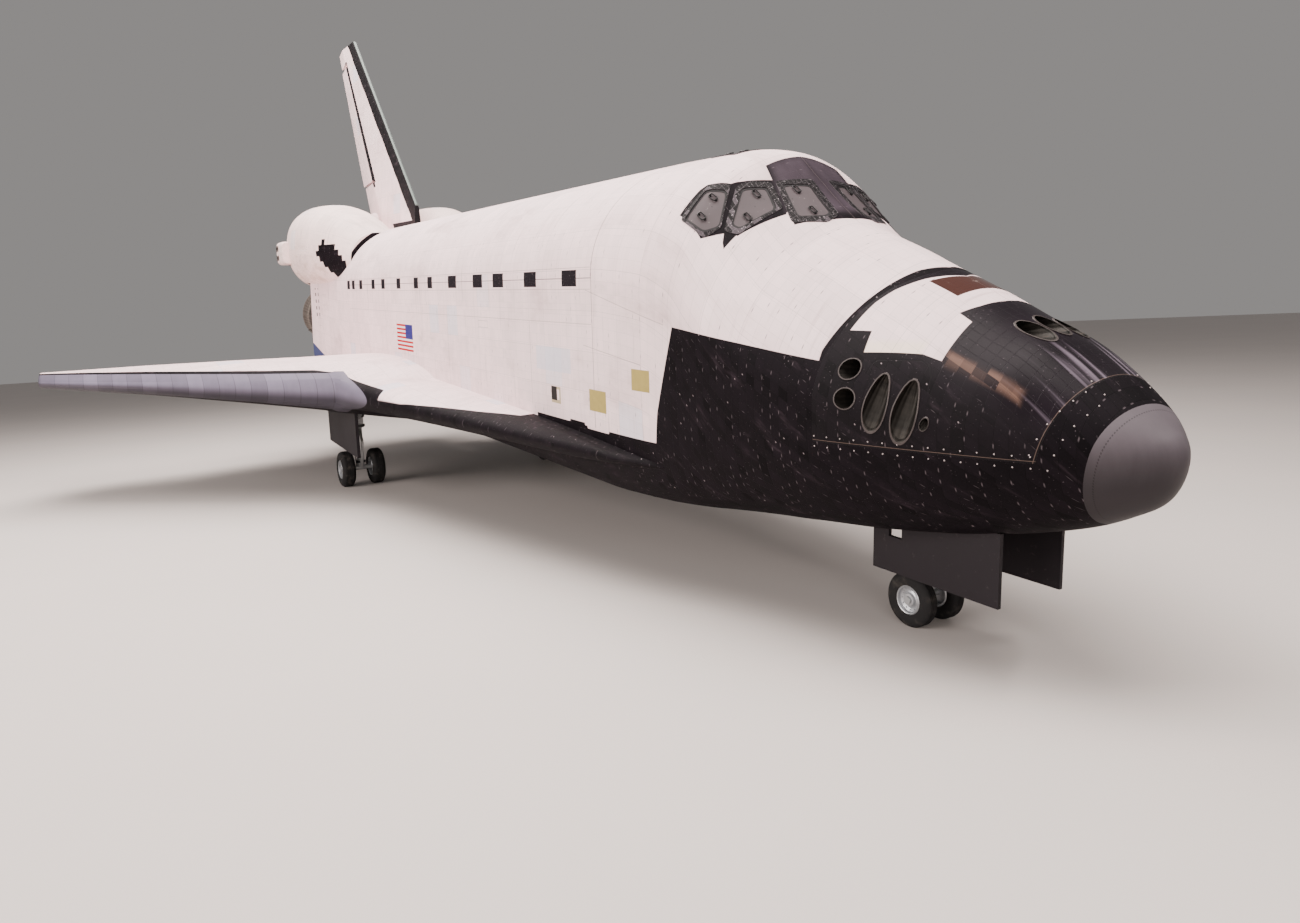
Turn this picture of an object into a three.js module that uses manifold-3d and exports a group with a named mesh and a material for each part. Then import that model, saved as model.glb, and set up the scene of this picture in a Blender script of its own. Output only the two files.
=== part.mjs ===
// A winged space orbiter standing on its landing gear, at full size.
// Units are millimetres, +Z is up and the nose points along +X.
// Lengths along the craft are stations, measured aft from the nose tip, and
// heights are measured from the flat belly; place() turns both into a point.
import * as THREE from 'three';
import { mergeVertices } from 'three/addons/utils/BufferGeometryUtils.js';
import Module from 'manifold-3d';

const wasm = await Module();
wasm.setup();

// Driving dimensions
const REST_PITCH = 3.5;
const SEAT_GAP = 0.3;
const RUNNING_GAP = 8;
const BAY = { front: 8788, aft: 27076, bulkhead: 27203, radius: 2286, axisHeight: 3378 };
const SILL = { height: 3835, halfWidth: 2667 };
const FUSELAGE_END = { top: 32100, bottom: 32817 };
const HULL_SIDES = 36;
const WHEEL_SIDES = 24;

// Body sections: station aft of the nose, height of the crown, height of the
// keel, half width, height where the body is widest, and the powers of the
// rounded square above and below that height. The last three stations carry the
// engine bay.
const HULL_COLUMNS = ['station', 'crown', 'keel', 'halfWidth', 'widest', 'upper', 'lower'];
const HULL = [
  [88, 1730, 1651, 36, 1692, 2.0, 2.0],
  [112, 1815, 1545, 118, 1694, 2.0, 2.0],
  [175, 1922, 1368, 255, 1697, 2.0, 2.0],
  [310, 2040, 1160, 490, 1710, 2.0, 2.0],
  [600, 2315, 965, 855, 1760, 2.0, 2.05],
  [1000, 2655, 765, 1115, 1830, 1.96, 2.1],
  [1500, 2990, 600, 1380, 1890, 1.95, 2.25],
  [2100, 3270, 450, 1620, 1960, 1.81, 2.45],
  [2800, 3615, 330, 1890, 2060, 1.7, 2.65],
  [3607, 3965, 230, 2155, 2170, 1.64, 2.9],
  [4300, 4260, 180, 2300, 2330, 1.68, 3.2],
  [4700, 4415, 150, 2350, 2470, 1.68, 3.5],
  [5044, 4555, 130, 2395, 2610, 1.66, 3.75],
  [5300, 4750, 115, 2430, 2730, 1.63, 4.0],
  [5600, 4990, 95, 2465, 2870, 1.63, 4.3],
  [6000, 5340, 65, 2510, 3050, 1.68, 4.8],
  [6600, 5800, 25, 2590, 3330, 1.84, 5.8],
  [7300, 5905, 0, 2645, 3560, 1.98, 7.0],
  [8000, 5905, 0, 2665, 3700, 2.02, 8.5],
  [8788, 5910, 0, 2667, 3800, 2.05, 10.0],
  [27203, 5918, 0, 2667, 3800, 2.05, 10.0],
  [29235, 5918, 0, 2700, 3800, 2.1, 9.0],
  [31000, 5918, 60, 2830, 3800, 2.2, 9.0],
  [32817, 5918, 200, 2980, 3800, 2.3, 10.0],
];
const hullRows = HULL.map((row) =>
  Object.fromEntries(HULL_COLUMNS.map((name, i) => [name, row[i]])));

// Seams of the nose. The aft edge of the cap and the front edge of the thruster
// module lean: a leaning seam stands at foot on the belly plane and moves forward
// by its lean for each unit of height. The module's aft edge bends forward above
// the corners given as station and height.
const CAP_SEAM = { foot: 977, lean: 0.185 };
const MODULE = {
  foot: 1514, lean: 0.245, floor: 1650,
  aftEdge: [[3665, 2750], [3560, 3330], [3470, 3600], [3290, 3830], [3130, 4000]],
};

// Thruster ports of the nose, left side and middle: place of the opening on the
// skin, the way it points (forward, out and up), and its radius and depth.
const PORT_COLUMNS = ['station', 'out', 'height', 'forward', 'outward', 'upward', 'radius', 'depth'];
const PORTS = [
  [3262, 1888, 2612, 0, 1, 0.1, 130, 420],
  [3223, 2022, 2246, 0, 1, 0.1, 130, 420],
  [2829, 1875, 2230, 0, 0.5, -0.86, 140, 420],
  [2477, 1750, 2159, 0, 0.46, -0.89, 145, 420],
  [2245, 1676, 2010, 0, 0.7, -0.7, 50, 200],
  [1800, 345, 3080, 0.985, 0, 0.17, 150, 420],
  [1800, 0, 3135, 0.985, 0, 0.17, 150, 420],
];
const portRows = PORTS.map((row) =>
  Object.fromEntries(PORT_COLUMNS.map((name, i) => [name, row[i]])));

// Wing sections on the left side: distance out from the centreline, station of
// the leading edge, station of the trailing edge, height of the chord plane,
// the greatest thickness of the main wing behind the forward strake, and the
// half thickness behind the rounded leading edge.
const WING_COLUMNS = ['out', 'front', 'aft', 'height', 'thickness', 'edge'];
const WING = [
  [2500, 6706, 32250, 810, 1650, 512],
  [2900, 7900, 32180, 826, 1600, 500],
  [3400, 11070, 32090, 846, 1530, 480],
  [4050, 15180, 31970, 871, 1430, 450],
  [4775, 20015, 31840, 899, 1320, 400],
  [6500, 21740, 31540, 967, 1130, 250],
  [9000, 24240, 31100, 1059, 800, 110],
  [11896, 27136, 30590, 1118, 420, 50],
];
const wingRows = WING.map((row) =>
  Object.fromEntries(WING_COLUMNS.map((name, i) => [name, row[i]])));
// Where the 45 degree leading edge would meet the centreline.
const MAIN_WING_APEX = 15240;
const LEADING_EDGE = { start: 19700, depth: 470 };

const ELEVON_HINGE = 29235;
// How far the cove's lips open for an elevon that turns up and down, in degrees.
const ELEVON_SWEEP = { up: 33, down: 18 };
// Hinge pins turn in bores of the ribs beside each moving surface.
const PIN = { radius: 45, bore: 45.6, reach: 40, sides: 24 };
// Clearance around an elevon's nose, and the ribs left behind the hinge line.
const COVE_GAP = 24;
// How far out the inner edge of an elevon leans by its trailing edge.
const ELEVON_FLARE = 260;
const RIB_DEPTH = 120;
// Elevons: name, hinge end near the body and near the tip, hinge radius at
// each end, and station of the trailing edge at each end.
const ELEVONS = [
  ['inner', 2900, 7874, 361, 252, 32190, 31345],
  ['outer', 7986, 11840, 250, 161, 31325, 30600],
];
const BODY_FLAP = { hinge: 33010, height: 508, halfWidth: 2700, radius: 240, length: 2060, lug: 90 };

const FIN = {
  foot: 5410, top: 13900, front: 26000, frontSlope: 1, aft: 33070, aftSlope: 0.4932,
  clearFront: 27280, noseRadius: 60, overhang: 32800, overhangHeight: 6400,
};
// The round housing at the fin's foot, as [radius, distance aft of its nose].
const CHUTE = {
  station: 31400, height: 6330,
  profile: [[0, 0], [250, 60], [380, 500], [390, 1400], [350, 1620], [0, 1620]],
};
const RUDDER = {
  bottom: 7976, top: 13081, hingeBottom: 32014, hingeTop: 35568,
  radiusBottom: 300, radiusTop: 168, core: 62, coreBore: 62.9,
  lowerGap: 90, upperGap: 180,
  // The cove is wider than the panels' round nose, because the two panels turn
  // far enough for their flat sides to pass through it.
  coveRatio: 1.3,
};

// Pod sections: station, distance out, height, half width, rise and drop.
const POD_COLUMNS = ['station', 'out', 'height', 'halfWidth', 'rise', 'drop'];
const POD = [
  [27270, 1420, 4620, 1020, 1020, 900],
  [27900, 1560, 4800, 1120, 1180, 1030],
  [28560, 1720, 4950, 1220, 1400, 1150],
  [29570, 1900, 5120, 1350, 1560, 1330],
  [30840, 2020, 5230, 1440, 1650, 1480],
  [32385, 2070, 5290, 1490, 1660, 1560],
  [33100, 2130, 5300, 1430, 1600, 1560],
  [33530, 2230, 5310, 1200, 1400, 1400],
];
// Power of the rounded square of every pod section, and how many sides it has.
const POD_POWER = 2.3;
const POD_SIDES = 24;
const podRows = POD.map((row) =>
  Object.fromEntries(POD_COLUMNS.map((name, i) => [name, row[i]])));
const STINGER = { front: 32900, aft: 34140, out: 3440, height: 5160, halfWidth: 400, halfHeight: 460 };

// Engines: name, gimbal station, distance out, height, degrees up and out.
const ENGINES = [
  ['upper', 30709, 0, 4470, 16, 0],
  ['left', 31297, 1346, 1920, 10, 3.5],
  ['right', 31297, -1346, 1920, 10, -3.5],
];
const ENGINE = { domeStart: 500, domeEnd: 1950, exit: 4267, wall: 45 };
const POD_ENGINE = {
  station: 32563, out: 2235, height: 5715, up: 15.8, yaw: 6.5, start: 1060, exit: 1956, recess: 620,
  wall: 28,
};
// Bells as [radius, distance from the gimbal], without the wall's thickness.
const MAIN_BELL = [[400, ENGINE.domeEnd], [640, 2320], [880, 2860], [1050, 3480], [1194, ENGINE.exit]];
const POD_BELL = [[190, POD_ENGINE.start], [330, 1270], [460, 1580], [546, POD_ENGINE.exit]];
const ENGINE_DOME = [[0, ENGINE.domeStart], [1080, ENGINE.domeStart], [1080, 1150], [1010, 1480],
  [840, 1760], [600, ENGINE.domeEnd], [0, ENGINE.domeEnd]];

const MAIN_GEAR = {
  station: 23617, out: 3454, tyreRadius: 565, tyreWidth: 406, wheelOut: 463,
  wellFront: 20400, wellAft: 24200, wellInner: 2770, wellOuter: 4230, wellRoof: 1330,
};
const NOSE_GEAR = {
  station: 3607, tyreRadius: 406, tyreWidth: 224, wheelOut: 285,
  wellFront: 1850, wellAft: 4060, wellHalf: 660, wellRoof: 1420,
  strutRadius: 80, strutBore: 80.9,
};
// Height of the ground below the belly plane at a station, level once pitched.
const GROUND_AT_NOSE = -1070;
const groundHeight = (station) =>
  GROUND_AT_NOSE - station * Math.tan(THREE.MathUtils.degToRad(REST_PITCH));

const CABIN = { front: 5150, aft: 8400, floor: 620, wall: 190 };
// Windows: name, then corners as station and distance up the body's side, in
// degrees from level to straight up, in order around the pane.
const WINDOWS = [
  ['front', [[5974, 69.8], [5856, 77.2], [5356, 77.2], [5308, 73.3], [5551, 65.7]]],
  ['middle', [[6280, 56.6], [6095, 64.3], [5749, 61.1], [5898, 45.2], [6019, 44.1]]],
  ['side', [[6662, 34.1], [6673, 47.9], [6408, 51.8], [6345, 50.9], [6127, 40.6], [6280, 34.9]]],
];
const OVERHEAD = [[7150, 84], [7700, 84], [7700, 73], [7150, 73]];
const PANE_DEPTH = 90;
const DOOR = { thickness: 85, endGap: 8, meetGap: 4 };
const RADIATOR = { thickness: 55, ends: 350, middle: 70, sill: 140 };
const HATCH = {
  station: 6100, height: 2000, depth: 150, inner: 1800, innerRadius: 366, outer: 3200, outerRadius: 646,
  hingeOut: 2560, hingeHeight: 1480, hingeRadius: 24, hingeHalf: 60,
};

// Geometry helpers

const rad = THREE.MathUtils.degToRad;

function place(station, out, height) {
  return new THREE.Vector3(-station, out, height);
}

function solid(geometry) {
  const bare = geometry.index ? geometry.toNonIndexed() : geometry.clone();
  for (const name of Object.keys(bare.attributes)) {
    if (name !== 'position') bare.deleteAttribute(name);
  }
  const merged = mergeVertices(bare, 1e-3);
  return new wasm.Manifold(new wasm.Mesh({
    numProp: 3,
    vertProperties: new Float32Array(merged.attributes.position.array),
    triVerts: new Uint32Array(merged.index.array),
  }));
}

function geometryOf(body) {
  const mesh = body.getMesh();
  const geometry = new THREE.BufferGeometry();
  geometry.setAttribute('position', new THREE.BufferAttribute(mesh.vertProperties, 3));
  geometry.setIndex(new THREE.BufferAttribute(mesh.triVerts, 1));
  return geometry;
}

// A closed skin through rings of points, with a fan over each end. Each square
// is split the mirrored way on the right side, so that both sides are alike.
function loft(rings) {
  const count = rings[0].length;
  const points = rings.flat();
  const faces = [];
  for (let r = 0; r + 1 < rings.length; r += 1) {
    for (let i = 0; i < count; i += 1) {
      const a = r * count + i;
      const b = r * count + (i + 1) % count;
      const c = a + count;
      const d = b + count;
      const across = points[a].y + points[b].y + points[c].y + points[d].y;
      if (across < 0) faces.push([a, b, d], [a, d, c]);
      else faces.push([a, b, c], [b, d, c]);
    }
  }
  for (const [ring, flip] of [[0, true], [rings.length - 1, false]]) {
    const centre = new THREE.Vector3();
    rings[ring].forEach((p) => centre.addScaledVector(p, 1 / count));
    const hub = points.push(centre) - 1;
    for (let i = 0; i < count; i += 1) {
      const a = ring * count + i;
      const b = ring * count + (i + 1) % count;
      faces.push(flip ? [b, a, hub] : [a, b, hub]);
    }
  }
  let volume = 0;
  for (const [a, b, c] of faces) {
    volume += points[a].dot(new THREE.Vector3().crossVectors(points[b], points[c]));
  }
  const ordered = volume < 0 ? faces.map(([a, b, c]) => [a, c, b]) : faces;
  const geometry = new THREE.BufferGeometry().setFromPoints(
    ordered.flat().map((i) => points[i]));
  return solid(geometry);
}

function block(frontStation, aftStation, outLow, outHigh, low, high) {
  const box = new THREE.BoxGeometry(aftStation - frontStation, outHigh - outLow, high - low);
  box.translate(-(frontStation + aftStation) / 2, (outLow + outHigh) / 2, (low + high) / 2);
  return solid(box);
}

// A straight round bar between two points, tapered where the radii differ.
function bar(from, to, radiusFrom, radiusTo = radiusFrom, sides = 16) {
  const along = new THREE.Vector3().subVectors(to, from);
  const shape = new THREE.CylinderGeometry(radiusTo, radiusFrom, along.length(), sides);
  shape.applyQuaternion(new THREE.Quaternion().setFromUnitVectors(
    new THREE.Vector3(0, 1, 0), along.clone().normalize()));
  const middle = new THREE.Vector3().addVectors(from, to).multiplyScalar(0.5);
  return solid(shape.translate(middle.x, middle.y, middle.z));
}

// A shape turned from [radius, distance] pairs about a line from start.
function turned(profile, start, direction, sides) {
  const shape = new THREE.LatheGeometry(profile.map(([r, d]) => new THREE.Vector2(r, d)), sides);
  shape.applyQuaternion(new THREE.Quaternion().setFromUnitVectors(
    new THREE.Vector3(0, 1, 0), direction.clone().normalize()));
  shape.translate(start.x, start.y, start.z);
  const body = solid(shape);
  return body.volume() < 0 ? solid(flipped(shape)) : body;
}

function flipped(geometry) {
  const index = geometry.index.array.slice();
  for (let i = 0; i < index.length; i += 3) [index[i], index[i + 1]] = [index[i + 1], index[i]];
  return geometry.clone().setIndex(new THREE.BufferAttribute(index, 1));
}

function mirrored(body) {
  const geometry = geometryOf(body);
  geometry.scale(1, -1, 1);
  return solid(flipped(geometry));
}

// Body

function between(rows, station) {
  let i = 0;
  while (i + 2 < rows.length && rows[i + 1].station < station) i += 1;
  const a = rows[i];
  const b = rows[i + 1];
  const t = (station - a.station) / (b.station - a.station);
  return Object.fromEntries(Object.keys(a).map((name) => [name, a[name] + (b[name] - a[name]) * t]));
}

function hullPoint(row, angle, grow = 0) {
  const c = Math.cos(angle);
  const s = Math.sin(angle);
  const power = 2 / (s >= 0 ? row.upper : row.lower);
  const reach = (s >= 0 ? row.crown - row.widest : row.widest - row.keel) + grow;
  return place(
    row.station,
    Math.sign(c) * (row.halfWidth + grow) * Math.abs(c) ** power,
    row.widest + Math.sign(s) * reach * Math.abs(s) ** power);
}

// No angle lies on the middle line, so the crown and the belly are narrow flats.
function hullAngles() {
  const angles = [];
  for (let i = 0; i < HULL_SIDES; i += 1) angles.push((2 * Math.PI * (i + 0.5)) / HULL_SIDES);
  return angles;
}

function hull(from, to, grow = 0) {
  const inside = hullRows.filter((r) => r.station > from + 1 && r.station < to - 1);
  const rows = [between(hullRows, from), ...inside, between(hullRows, to)];
  return loft(rows.map((row) => hullAngles().map((angle) => hullPoint(row, angle, grow))));
}

const FIRST = HULL[0][0];
const LAST = HULL[HULL.length - 1][0];
const WIDE = 20000;
const FAR = 40000;

// A block across the whole craft over corners given as station and height.
function sideBlock(corners) {
  return loft([-WIDE, WIDE].map((out) => corners.map(([s, h]) => place(s, out, h))));
}

function noseCap() {
  const { foot, lean } = CAP_SEAM;
  return hull(FIRST, foot).intersect(sideBlock([
    [-WIDE, 0], [foot, 0], [foot - lean * BAY.axisHeight, BAY.axisHeight], [-WIDE, BAY.axisHeight]]));
}

function moduleSpace(grow) {
  const { foot, lean, floor, aftEdge } = MODULE;
  const front = (height) => foot - lean * height - grow;
  const [aft] = aftEdge[0];
  const [, top] = aftEdge[aftEdge.length - 1];
  return sideBlock([[front(floor), floor - grow], [aft + grow, floor - grow],
    ...aftEdge.map(([station, height]) => [station + grow, height]), [front(top), top]]);
}

function port(row, side) {
  const mouth = place(row.station, side * row.out, row.height);
  const way = new THREE.Vector3(row.forward, side * row.outward, row.upward).normalize();
  const inner = mouth.clone().addScaledVector(way, -row.depth);
  const outer = mouth.clone().addScaledVector(way, 2 * row.depth);
  return bar(inner, outer, row.radius * 0.6, row.radius * 1.8, 12);
}

function forwardModule() {
  let body = hull(FIRST + 300, MODULE.aftEdge[0][0] + 50).intersect(moduleSpace(0));
  for (const row of portRows) {
    for (const side of row.out ? [1, -1] : [1]) body = body.subtract(port(row, side));
  }
  return body;
}

// A prism through the body's skin over corners given on its surface.
function windowPrism(corners, side, shrink) {
  const points = corners.map(([station, degrees]) => {
    const p = hullPoint(between(hullRows, station), rad(degrees));
    p.y *= side;
    return p;
  });
  const normal = new THREE.Vector3().crossVectors(
    new THREE.Vector3().subVectors(points[2], points[0]),
    new THREE.Vector3().subVectors(points[3], points[1])).normalize();
  if (normal.z < 0) normal.negate();
  const centre = points.reduce((sum, p) => sum.addScaledVector(p, 1 / points.length), new THREE.Vector3());
  const shrunk = points.map((p) => {
    const inward = new THREE.Vector3().subVectors(centre, p);
    return p.clone().addScaledVector(inward.normalize(), shrink);
  });
  return loft([-420, 200].map((depth) => shrunk.map((p) => p.clone().addScaledVector(normal, depth))));
}

function windowPane(corners, side) {
  const skin = hull(4500, 8500).subtract(hull(4400, 8600, -PANE_DEPTH));
  return skin.intersect(windowPrism(corners, side, 2 * SEAT_GAP));
}

// The hatch narrows inwards, so that its inner rim clears the frame as it swings.
function hatchPlug(grow) {
  const h = HATCH;
  return bar(place(h.station, h.inner, h.height), place(h.station, h.outer, h.height),
    h.innerRadius + grow, h.outerRadius + grow, 24);
}

function hatchBarrel(from, to) {
  const h = HATCH;
  return bar(place(h.station + from, h.hingeOut, h.hingeHeight),
    place(h.station + to, h.hingeOut, h.hingeHeight), h.hingeRadius, h.hingeRadius, 16);
}

function sideHatch() {
  const h = HATCH;
  const skin = hull(5000, 7300).subtract(hull(4900, 7400, -h.depth));
  const strap = block(h.station - h.hingeHalf, h.station + h.hingeHalf, h.hingeOut - 14,
    h.hingeOut + 14, h.hingeHeight, h.hingeHeight + 70);
  const root = block(h.station - h.hingeHalf, h.station + h.hingeHalf, h.hingeOut - 90,
    h.hingeOut + 14, h.hingeHeight + 36, h.hingeHeight + 70);
  return skin.intersect(hatchPlug(0)).add(hatchBarrel(-h.hingeHalf, h.hingeHalf)).add(strap).add(root);
}

// Two lugs below the hatch opening, one on each side of the hatch's barrel.
function hatchLugs() {
  const h = HATCH;
  const near = h.hingeHalf + 2 * SEAT_GAP;
  const far = near + 55;
  return [[-far, -near], [near, far]].map(([from, to]) => hatchBarrel(from, to).add(
    block(h.station + from, h.station + to, h.hingeOut - 110, h.hingeOut, h.hingeHeight - 24,
      h.hingeHeight - 2)));
}

function noseWell(grow = 0) {
  return block(NOSE_GEAR.wellFront, NOSE_GEAR.wellAft, -NOSE_GEAR.wellHalf - grow,
    NOSE_GEAR.wellHalf + grow, -500, NOSE_GEAR.wellRoof);
}

function forwardFuselage() {
  const { foot, lean } = CAP_SEAM;
  const behindCap = sideBlock([
    [foot + SEAT_GAP, 0], [WIDE, 0], [WIDE, WIDE], [foot + SEAT_GAP - lean * WIDE, WIDE]]);
  let body = hull(FIRST + 300, BAY.front).intersect(behindCap);
  body = body.subtract(moduleSpace(SEAT_GAP)).subtract(noseWell());
  const room = hull(4000, 9000, -CABIN.wall).intersect(
    block(CABIN.front, CABIN.aft, -WIDE, WIDE, CABIN.floor, WIDE));
  body = body.subtract(room).subtract(hatchPlug(RUNNING_GAP));
  for (const lug of hatchLugs()) body = body.add(lug);
  for (const side of [1, -1]) {
    for (const [, corners] of WINDOWS) body = body.subtract(windowPrism(corners, side, 0));
    body = body.subtract(windowPrism(OVERHEAD, side, 0));
  }
  return body;
}

function bayTrough() {
  const round = bar(place(BAY.front - 100, 0, BAY.axisHeight), place(BAY.aft, 0, BAY.axisHeight),
    BAY.radius, BAY.radius, 36);
  return round.add(block(BAY.front - 100, BAY.aft, -BAY.radius, BAY.radius, BAY.axisHeight, WIDE));
}

function midFuselage() {
  const below = block(0, FAR, -WIDE, WIDE, -1000, SILL.height);
  return hull(BAY.front + SEAT_GAP, BAY.bulkhead - SEAT_GAP).intersect(below).subtract(bayTrough());
}

// A shell under the body's skin, over the left half of the cargo bay. inset is
// how far its ends, its inner edge and its lower edge stay inside the door's.
function bayShell(grow, depth, inset) {
  const front = BAY.front + DOOR.endGap + inset.ends;
  const aft = BAY.bulkhead - DOOR.endGap - inset.ends;
  const shell = hull(front, aft, -grow).subtract(hull(front - 50, aft + 50, -grow - depth));
  return shell.intersect(block(0, FAR, DOOR.meetGap + inset.middle, WIDE,
    SILL.height + SEAT_GAP + inset.sill, WIDE));
}

const leftDoor = () => bayShell(0, DOOR.thickness, { ends: 0, middle: 0, sill: 0 });
const leftRadiator = () => bayShell(DOOR.thickness + SEAT_GAP, RADIATOR.thickness, RADIATOR);

function engineAxis(up, out) {
  const a = rad(up);
  const b = rad(out);
  return new THREE.Vector3(-Math.cos(a) * Math.cos(b), Math.cos(a) * Math.sin(b), Math.sin(a));
}

function aftFuselage() {
  const { top, bottom } = FUSELAGE_END;
  const slope = (bottom - top) / HULL[HULL.length - 1][1];
  const behind = sideBlock([
    [bottom + slope * 500, -500], [bottom - slope * 7000, 7000], [FAR, 7000], [FAR, -500]]);
  let body = hull(BAY.bulkhead, LAST).subtract(behind);
  for (const [, station, out, height, up, yaw] of ENGINES) {
    body = body.add(turned(ENGINE_DOME, place(station, out, height), engineAxis(up, yaw), 24));
  }
  for (const side of [1, -1]) body = body.add(flapLug(side));
  return body;
}

function bell(points, wall, start, direction, sides) {
  const inner = points.map(([r, d]) => [r - wall, d]).reverse();
  return turned([...points, ...inner, points[0]], start, direction, sides);
}

function mainNozzle(station, out, height, up, yaw) {
  const [[radius, start], ...rest] = MAIN_BELL;
  const profile = [[radius, start + SEAT_GAP], ...rest];
  return bell(profile, ENGINE.wall, place(station, out, height), engineAxis(up, yaw), 24);
}

function podNozzle(side) {
  const e = POD_ENGINE;
  const gimbal = place(e.station, side * e.out, e.height);
  return bell(POD_BELL, e.wall, gimbal, engineAxis(e.up, side * e.yaw), 16);
}

function podSection(row) {
  const ring = [];
  const power = 2 / POD_POWER;
  for (let i = 0; i < POD_SIDES; i += 1) {
    const a = (2 * Math.PI * i) / POD_SIDES;
    const c = Math.cos(a);
    const s = Math.sin(a);
    ring.push(place(row.station, row.out + Math.sign(c) * row.halfWidth * Math.abs(c) ** power,
      row.height + Math.sign(s) * (s > 0 ? row.rise : row.drop) * Math.abs(s) ** power));
  }
  return ring;
}

function leftPod() {
  const s = STINGER;
  const e = POD_ENGINE;
  let body = loft(podRows.map(podSection));
  body = body.add(block(s.front, s.aft, s.out - s.halfWidth, s.out + s.halfWidth,
    s.height - s.halfHeight, s.height + s.halfHeight));
  const along = (distance) => place(e.station, e.out, e.height)
    .addScaledVector(engineAxis(e.up, e.yaw), distance);
  const recess = bar(along(e.start - SEAT_GAP), along(3000), e.recess, e.recess, 20);
  return body.subtract(recess).subtract(hull(26000, LAST + 400, SEAT_GAP)).subtract(finShape(SEAT_GAP));
}

// Wing

const lerp = (a, b, t) => a + (b - a) * t;

// Half thickness of a symmetrical wing section at a share of its chord.
function sectionShape(u) {
  return 5 * (0.2969 * Math.sqrt(u) - 0.126 * u - 0.3516 * u ** 2 + 0.2843 * u ** 3 - 0.1036 * u ** 4);
}

const STRAKE_STEPS = [0, 0.04, 0.2, 0.55];
const WING_STEPS = [0, 0.015, 0.06, 0.14, 0.26, 0.42, 0.6, 0.8, 0.93];

function wingSection(row) {
  const least = 0.02 * (row.aft - row.front);
  const mainFront = Math.max(MAIN_WING_APEX + row.out, row.front + least);
  const stations = [];
  for (const u of STRAKE_STEPS) {
    stations.push([lerp(row.front, mainFront, u), row.edge * Math.sqrt(u)]);
  }
  for (const u of WING_STEPS) {
    const main = row.thickness * sectionShape(u);
    stations.push([lerp(mainFront, row.aft, u), Math.hypot(main, row.edge * (1 - u))]);
  }
  const upper = stations.map(([s, half]) => place(s, row.out, row.height + half));
  const lower = stations.slice(1).map(([s, half]) => place(s, row.out, row.height - half));
  const edge = [place(row.aft, row.out, row.height + 12), place(row.aft, row.out, row.height - 12)];
  return [...upper, ...edge, ...lower.reverse()];
}

function wingBlank() {
  return loft(wingRows.map(wingSection));
}

const NOSE_STEPS = 10;

// A tapered flap: round nose about its hinge line and a thin trailing edge.
// ends holds, for each end, the hinge point, radius and trailing edge point.
function flap(ends, aftHalf, arc = [90, 270]) {
  return flapLoft(ends, arc, 1, () => [aftHalf, aftHalf]);
}

// The space that a flap needs: its upper and lower sides open by the angles
// given, and its round nose keeps outside the flap's.
function flapSpace(ends, up, down) {
  const arc = [90 + up, 270 - down];
  const outside = 1 / Math.cos(rad((arc[1] - arc[0]) / NOSE_STEPS / 2));
  return flapLoft(ends, arc, outside, (radius, length) => [up, down].map(
    (angle) => (outside * radius) / Math.cos(rad(angle)) + length * Math.tan(rad(angle))));
}

function flapLoft(ends, arc, outside, halves) {
  const axis = new THREE.Vector3().subVectors(ends[1].hinge, ends[0].hinge).normalize();
  const rings = ends.map(({ hinge, radius, aft }) => {
    const back = new THREE.Vector3().subVectors(aft, hinge);
    const span = axis.clone().multiplyScalar(back.dot(axis));
    const chordwise = back.clone().sub(span);
    const u = chordwise.clone().normalize();
    const v = new THREE.Vector3().crossVectors(axis, u).normalize();
    const at = (x, y, s) => hinge.clone().addScaledVector(u, x).addScaledVector(v, y)
      .addScaledVector(span, s);
    const [above, below] = halves(radius, chordwise.length());
    const ring = [at(chordwise.length(), above, 1)];
    for (let i = 0; i <= NOSE_STEPS; i += 1) {
      const a = rad(lerp(arc[0], arc[1], i / NOSE_STEPS));
      ring.push(at(outside * radius * Math.cos(a), outside * radius * Math.sin(a), 0));
    }
    ring.push(at(chordwise.length(), -below, 1));
    return ring;
  });
  return loft(rings);
}

function wingHeight(out) {
  let i = 0;
  while (i + 2 < wingRows.length && wingRows[i + 1].out < out) i += 1;
  const a = wingRows[i];
  const b = wingRows[i + 1];
  return lerp(a.height, b.height, (out - a.out) / (b.out - a.out));
}

// The elevons' hinge line is straight, through the wing's middle at both ends.
function hingeHeight(out) {
  const near = ELEVONS[0][1];
  const far = ELEVONS[ELEVONS.length - 1][2];
  return lerp(wingHeight(near), wingHeight(far), (out - near) / (far - near));
}

const elevonHinge = (out) => place(ELEVON_HINGE, out, hingeHeight(out));

// Both ends of an elevon: hinge point, nose radius and trailing edge point.
function elevonEnds([, near, far, radiusNear, radiusFar, aftNear, aftFar], grow, over, flare) {
  const end = (out, radius, aft, aftOut) => ({
    hinge: elevonHinge(out), radius: radius + grow, aft: place(aft, aftOut, hingeHeight(aftOut)),
  });
  return [
    end(near - over, radiusNear, aftNear, near - over + flare),
    end(far + over, radiusFar, aftFar, far + over),
  ];
}

function elevon(row) {
  const [, near, far] = row;
  const over = RUNNING_GAP + PIN.reach;
  const pin = bar(elevonHinge(near - over), elevonHinge(far + over), PIN.radius, PIN.radius, PIN.sides);
  return flap(elevonEnds(row, 0, 0, ELEVON_FLARE), 12, [84, 276]).add(pin);
}

function mainWell() {
  const g = MAIN_GEAR;
  return block(g.wellFront, g.wellAft, g.wellInner, g.wellOuter, -2000, g.wellRoof);
}

// The grey nose panels of the wing, cut off behind a line parallel to its edge.
function edgeSpace(grow) {
  const tip = WING[WING.length - 1];
  const run = (out) => MAIN_WING_APEX + out + LEADING_EDGE.depth * Math.SQRT2 + grow;
  const inner = LEADING_EDGE.start - MAIN_WING_APEX - grow;
  const outer = tip[0] + 500;
  return loft([-1000, 3000].map((z) => [
    place(run(inner), inner, z), place(run(outer), outer, z),
    place(run(inner) - 9000, outer, z), place(run(inner) - 9000, inner, z)]));
}

function leftLeadingEdge() {
  return wingBlank().intersect(edgeSpace(0));
}

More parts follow.
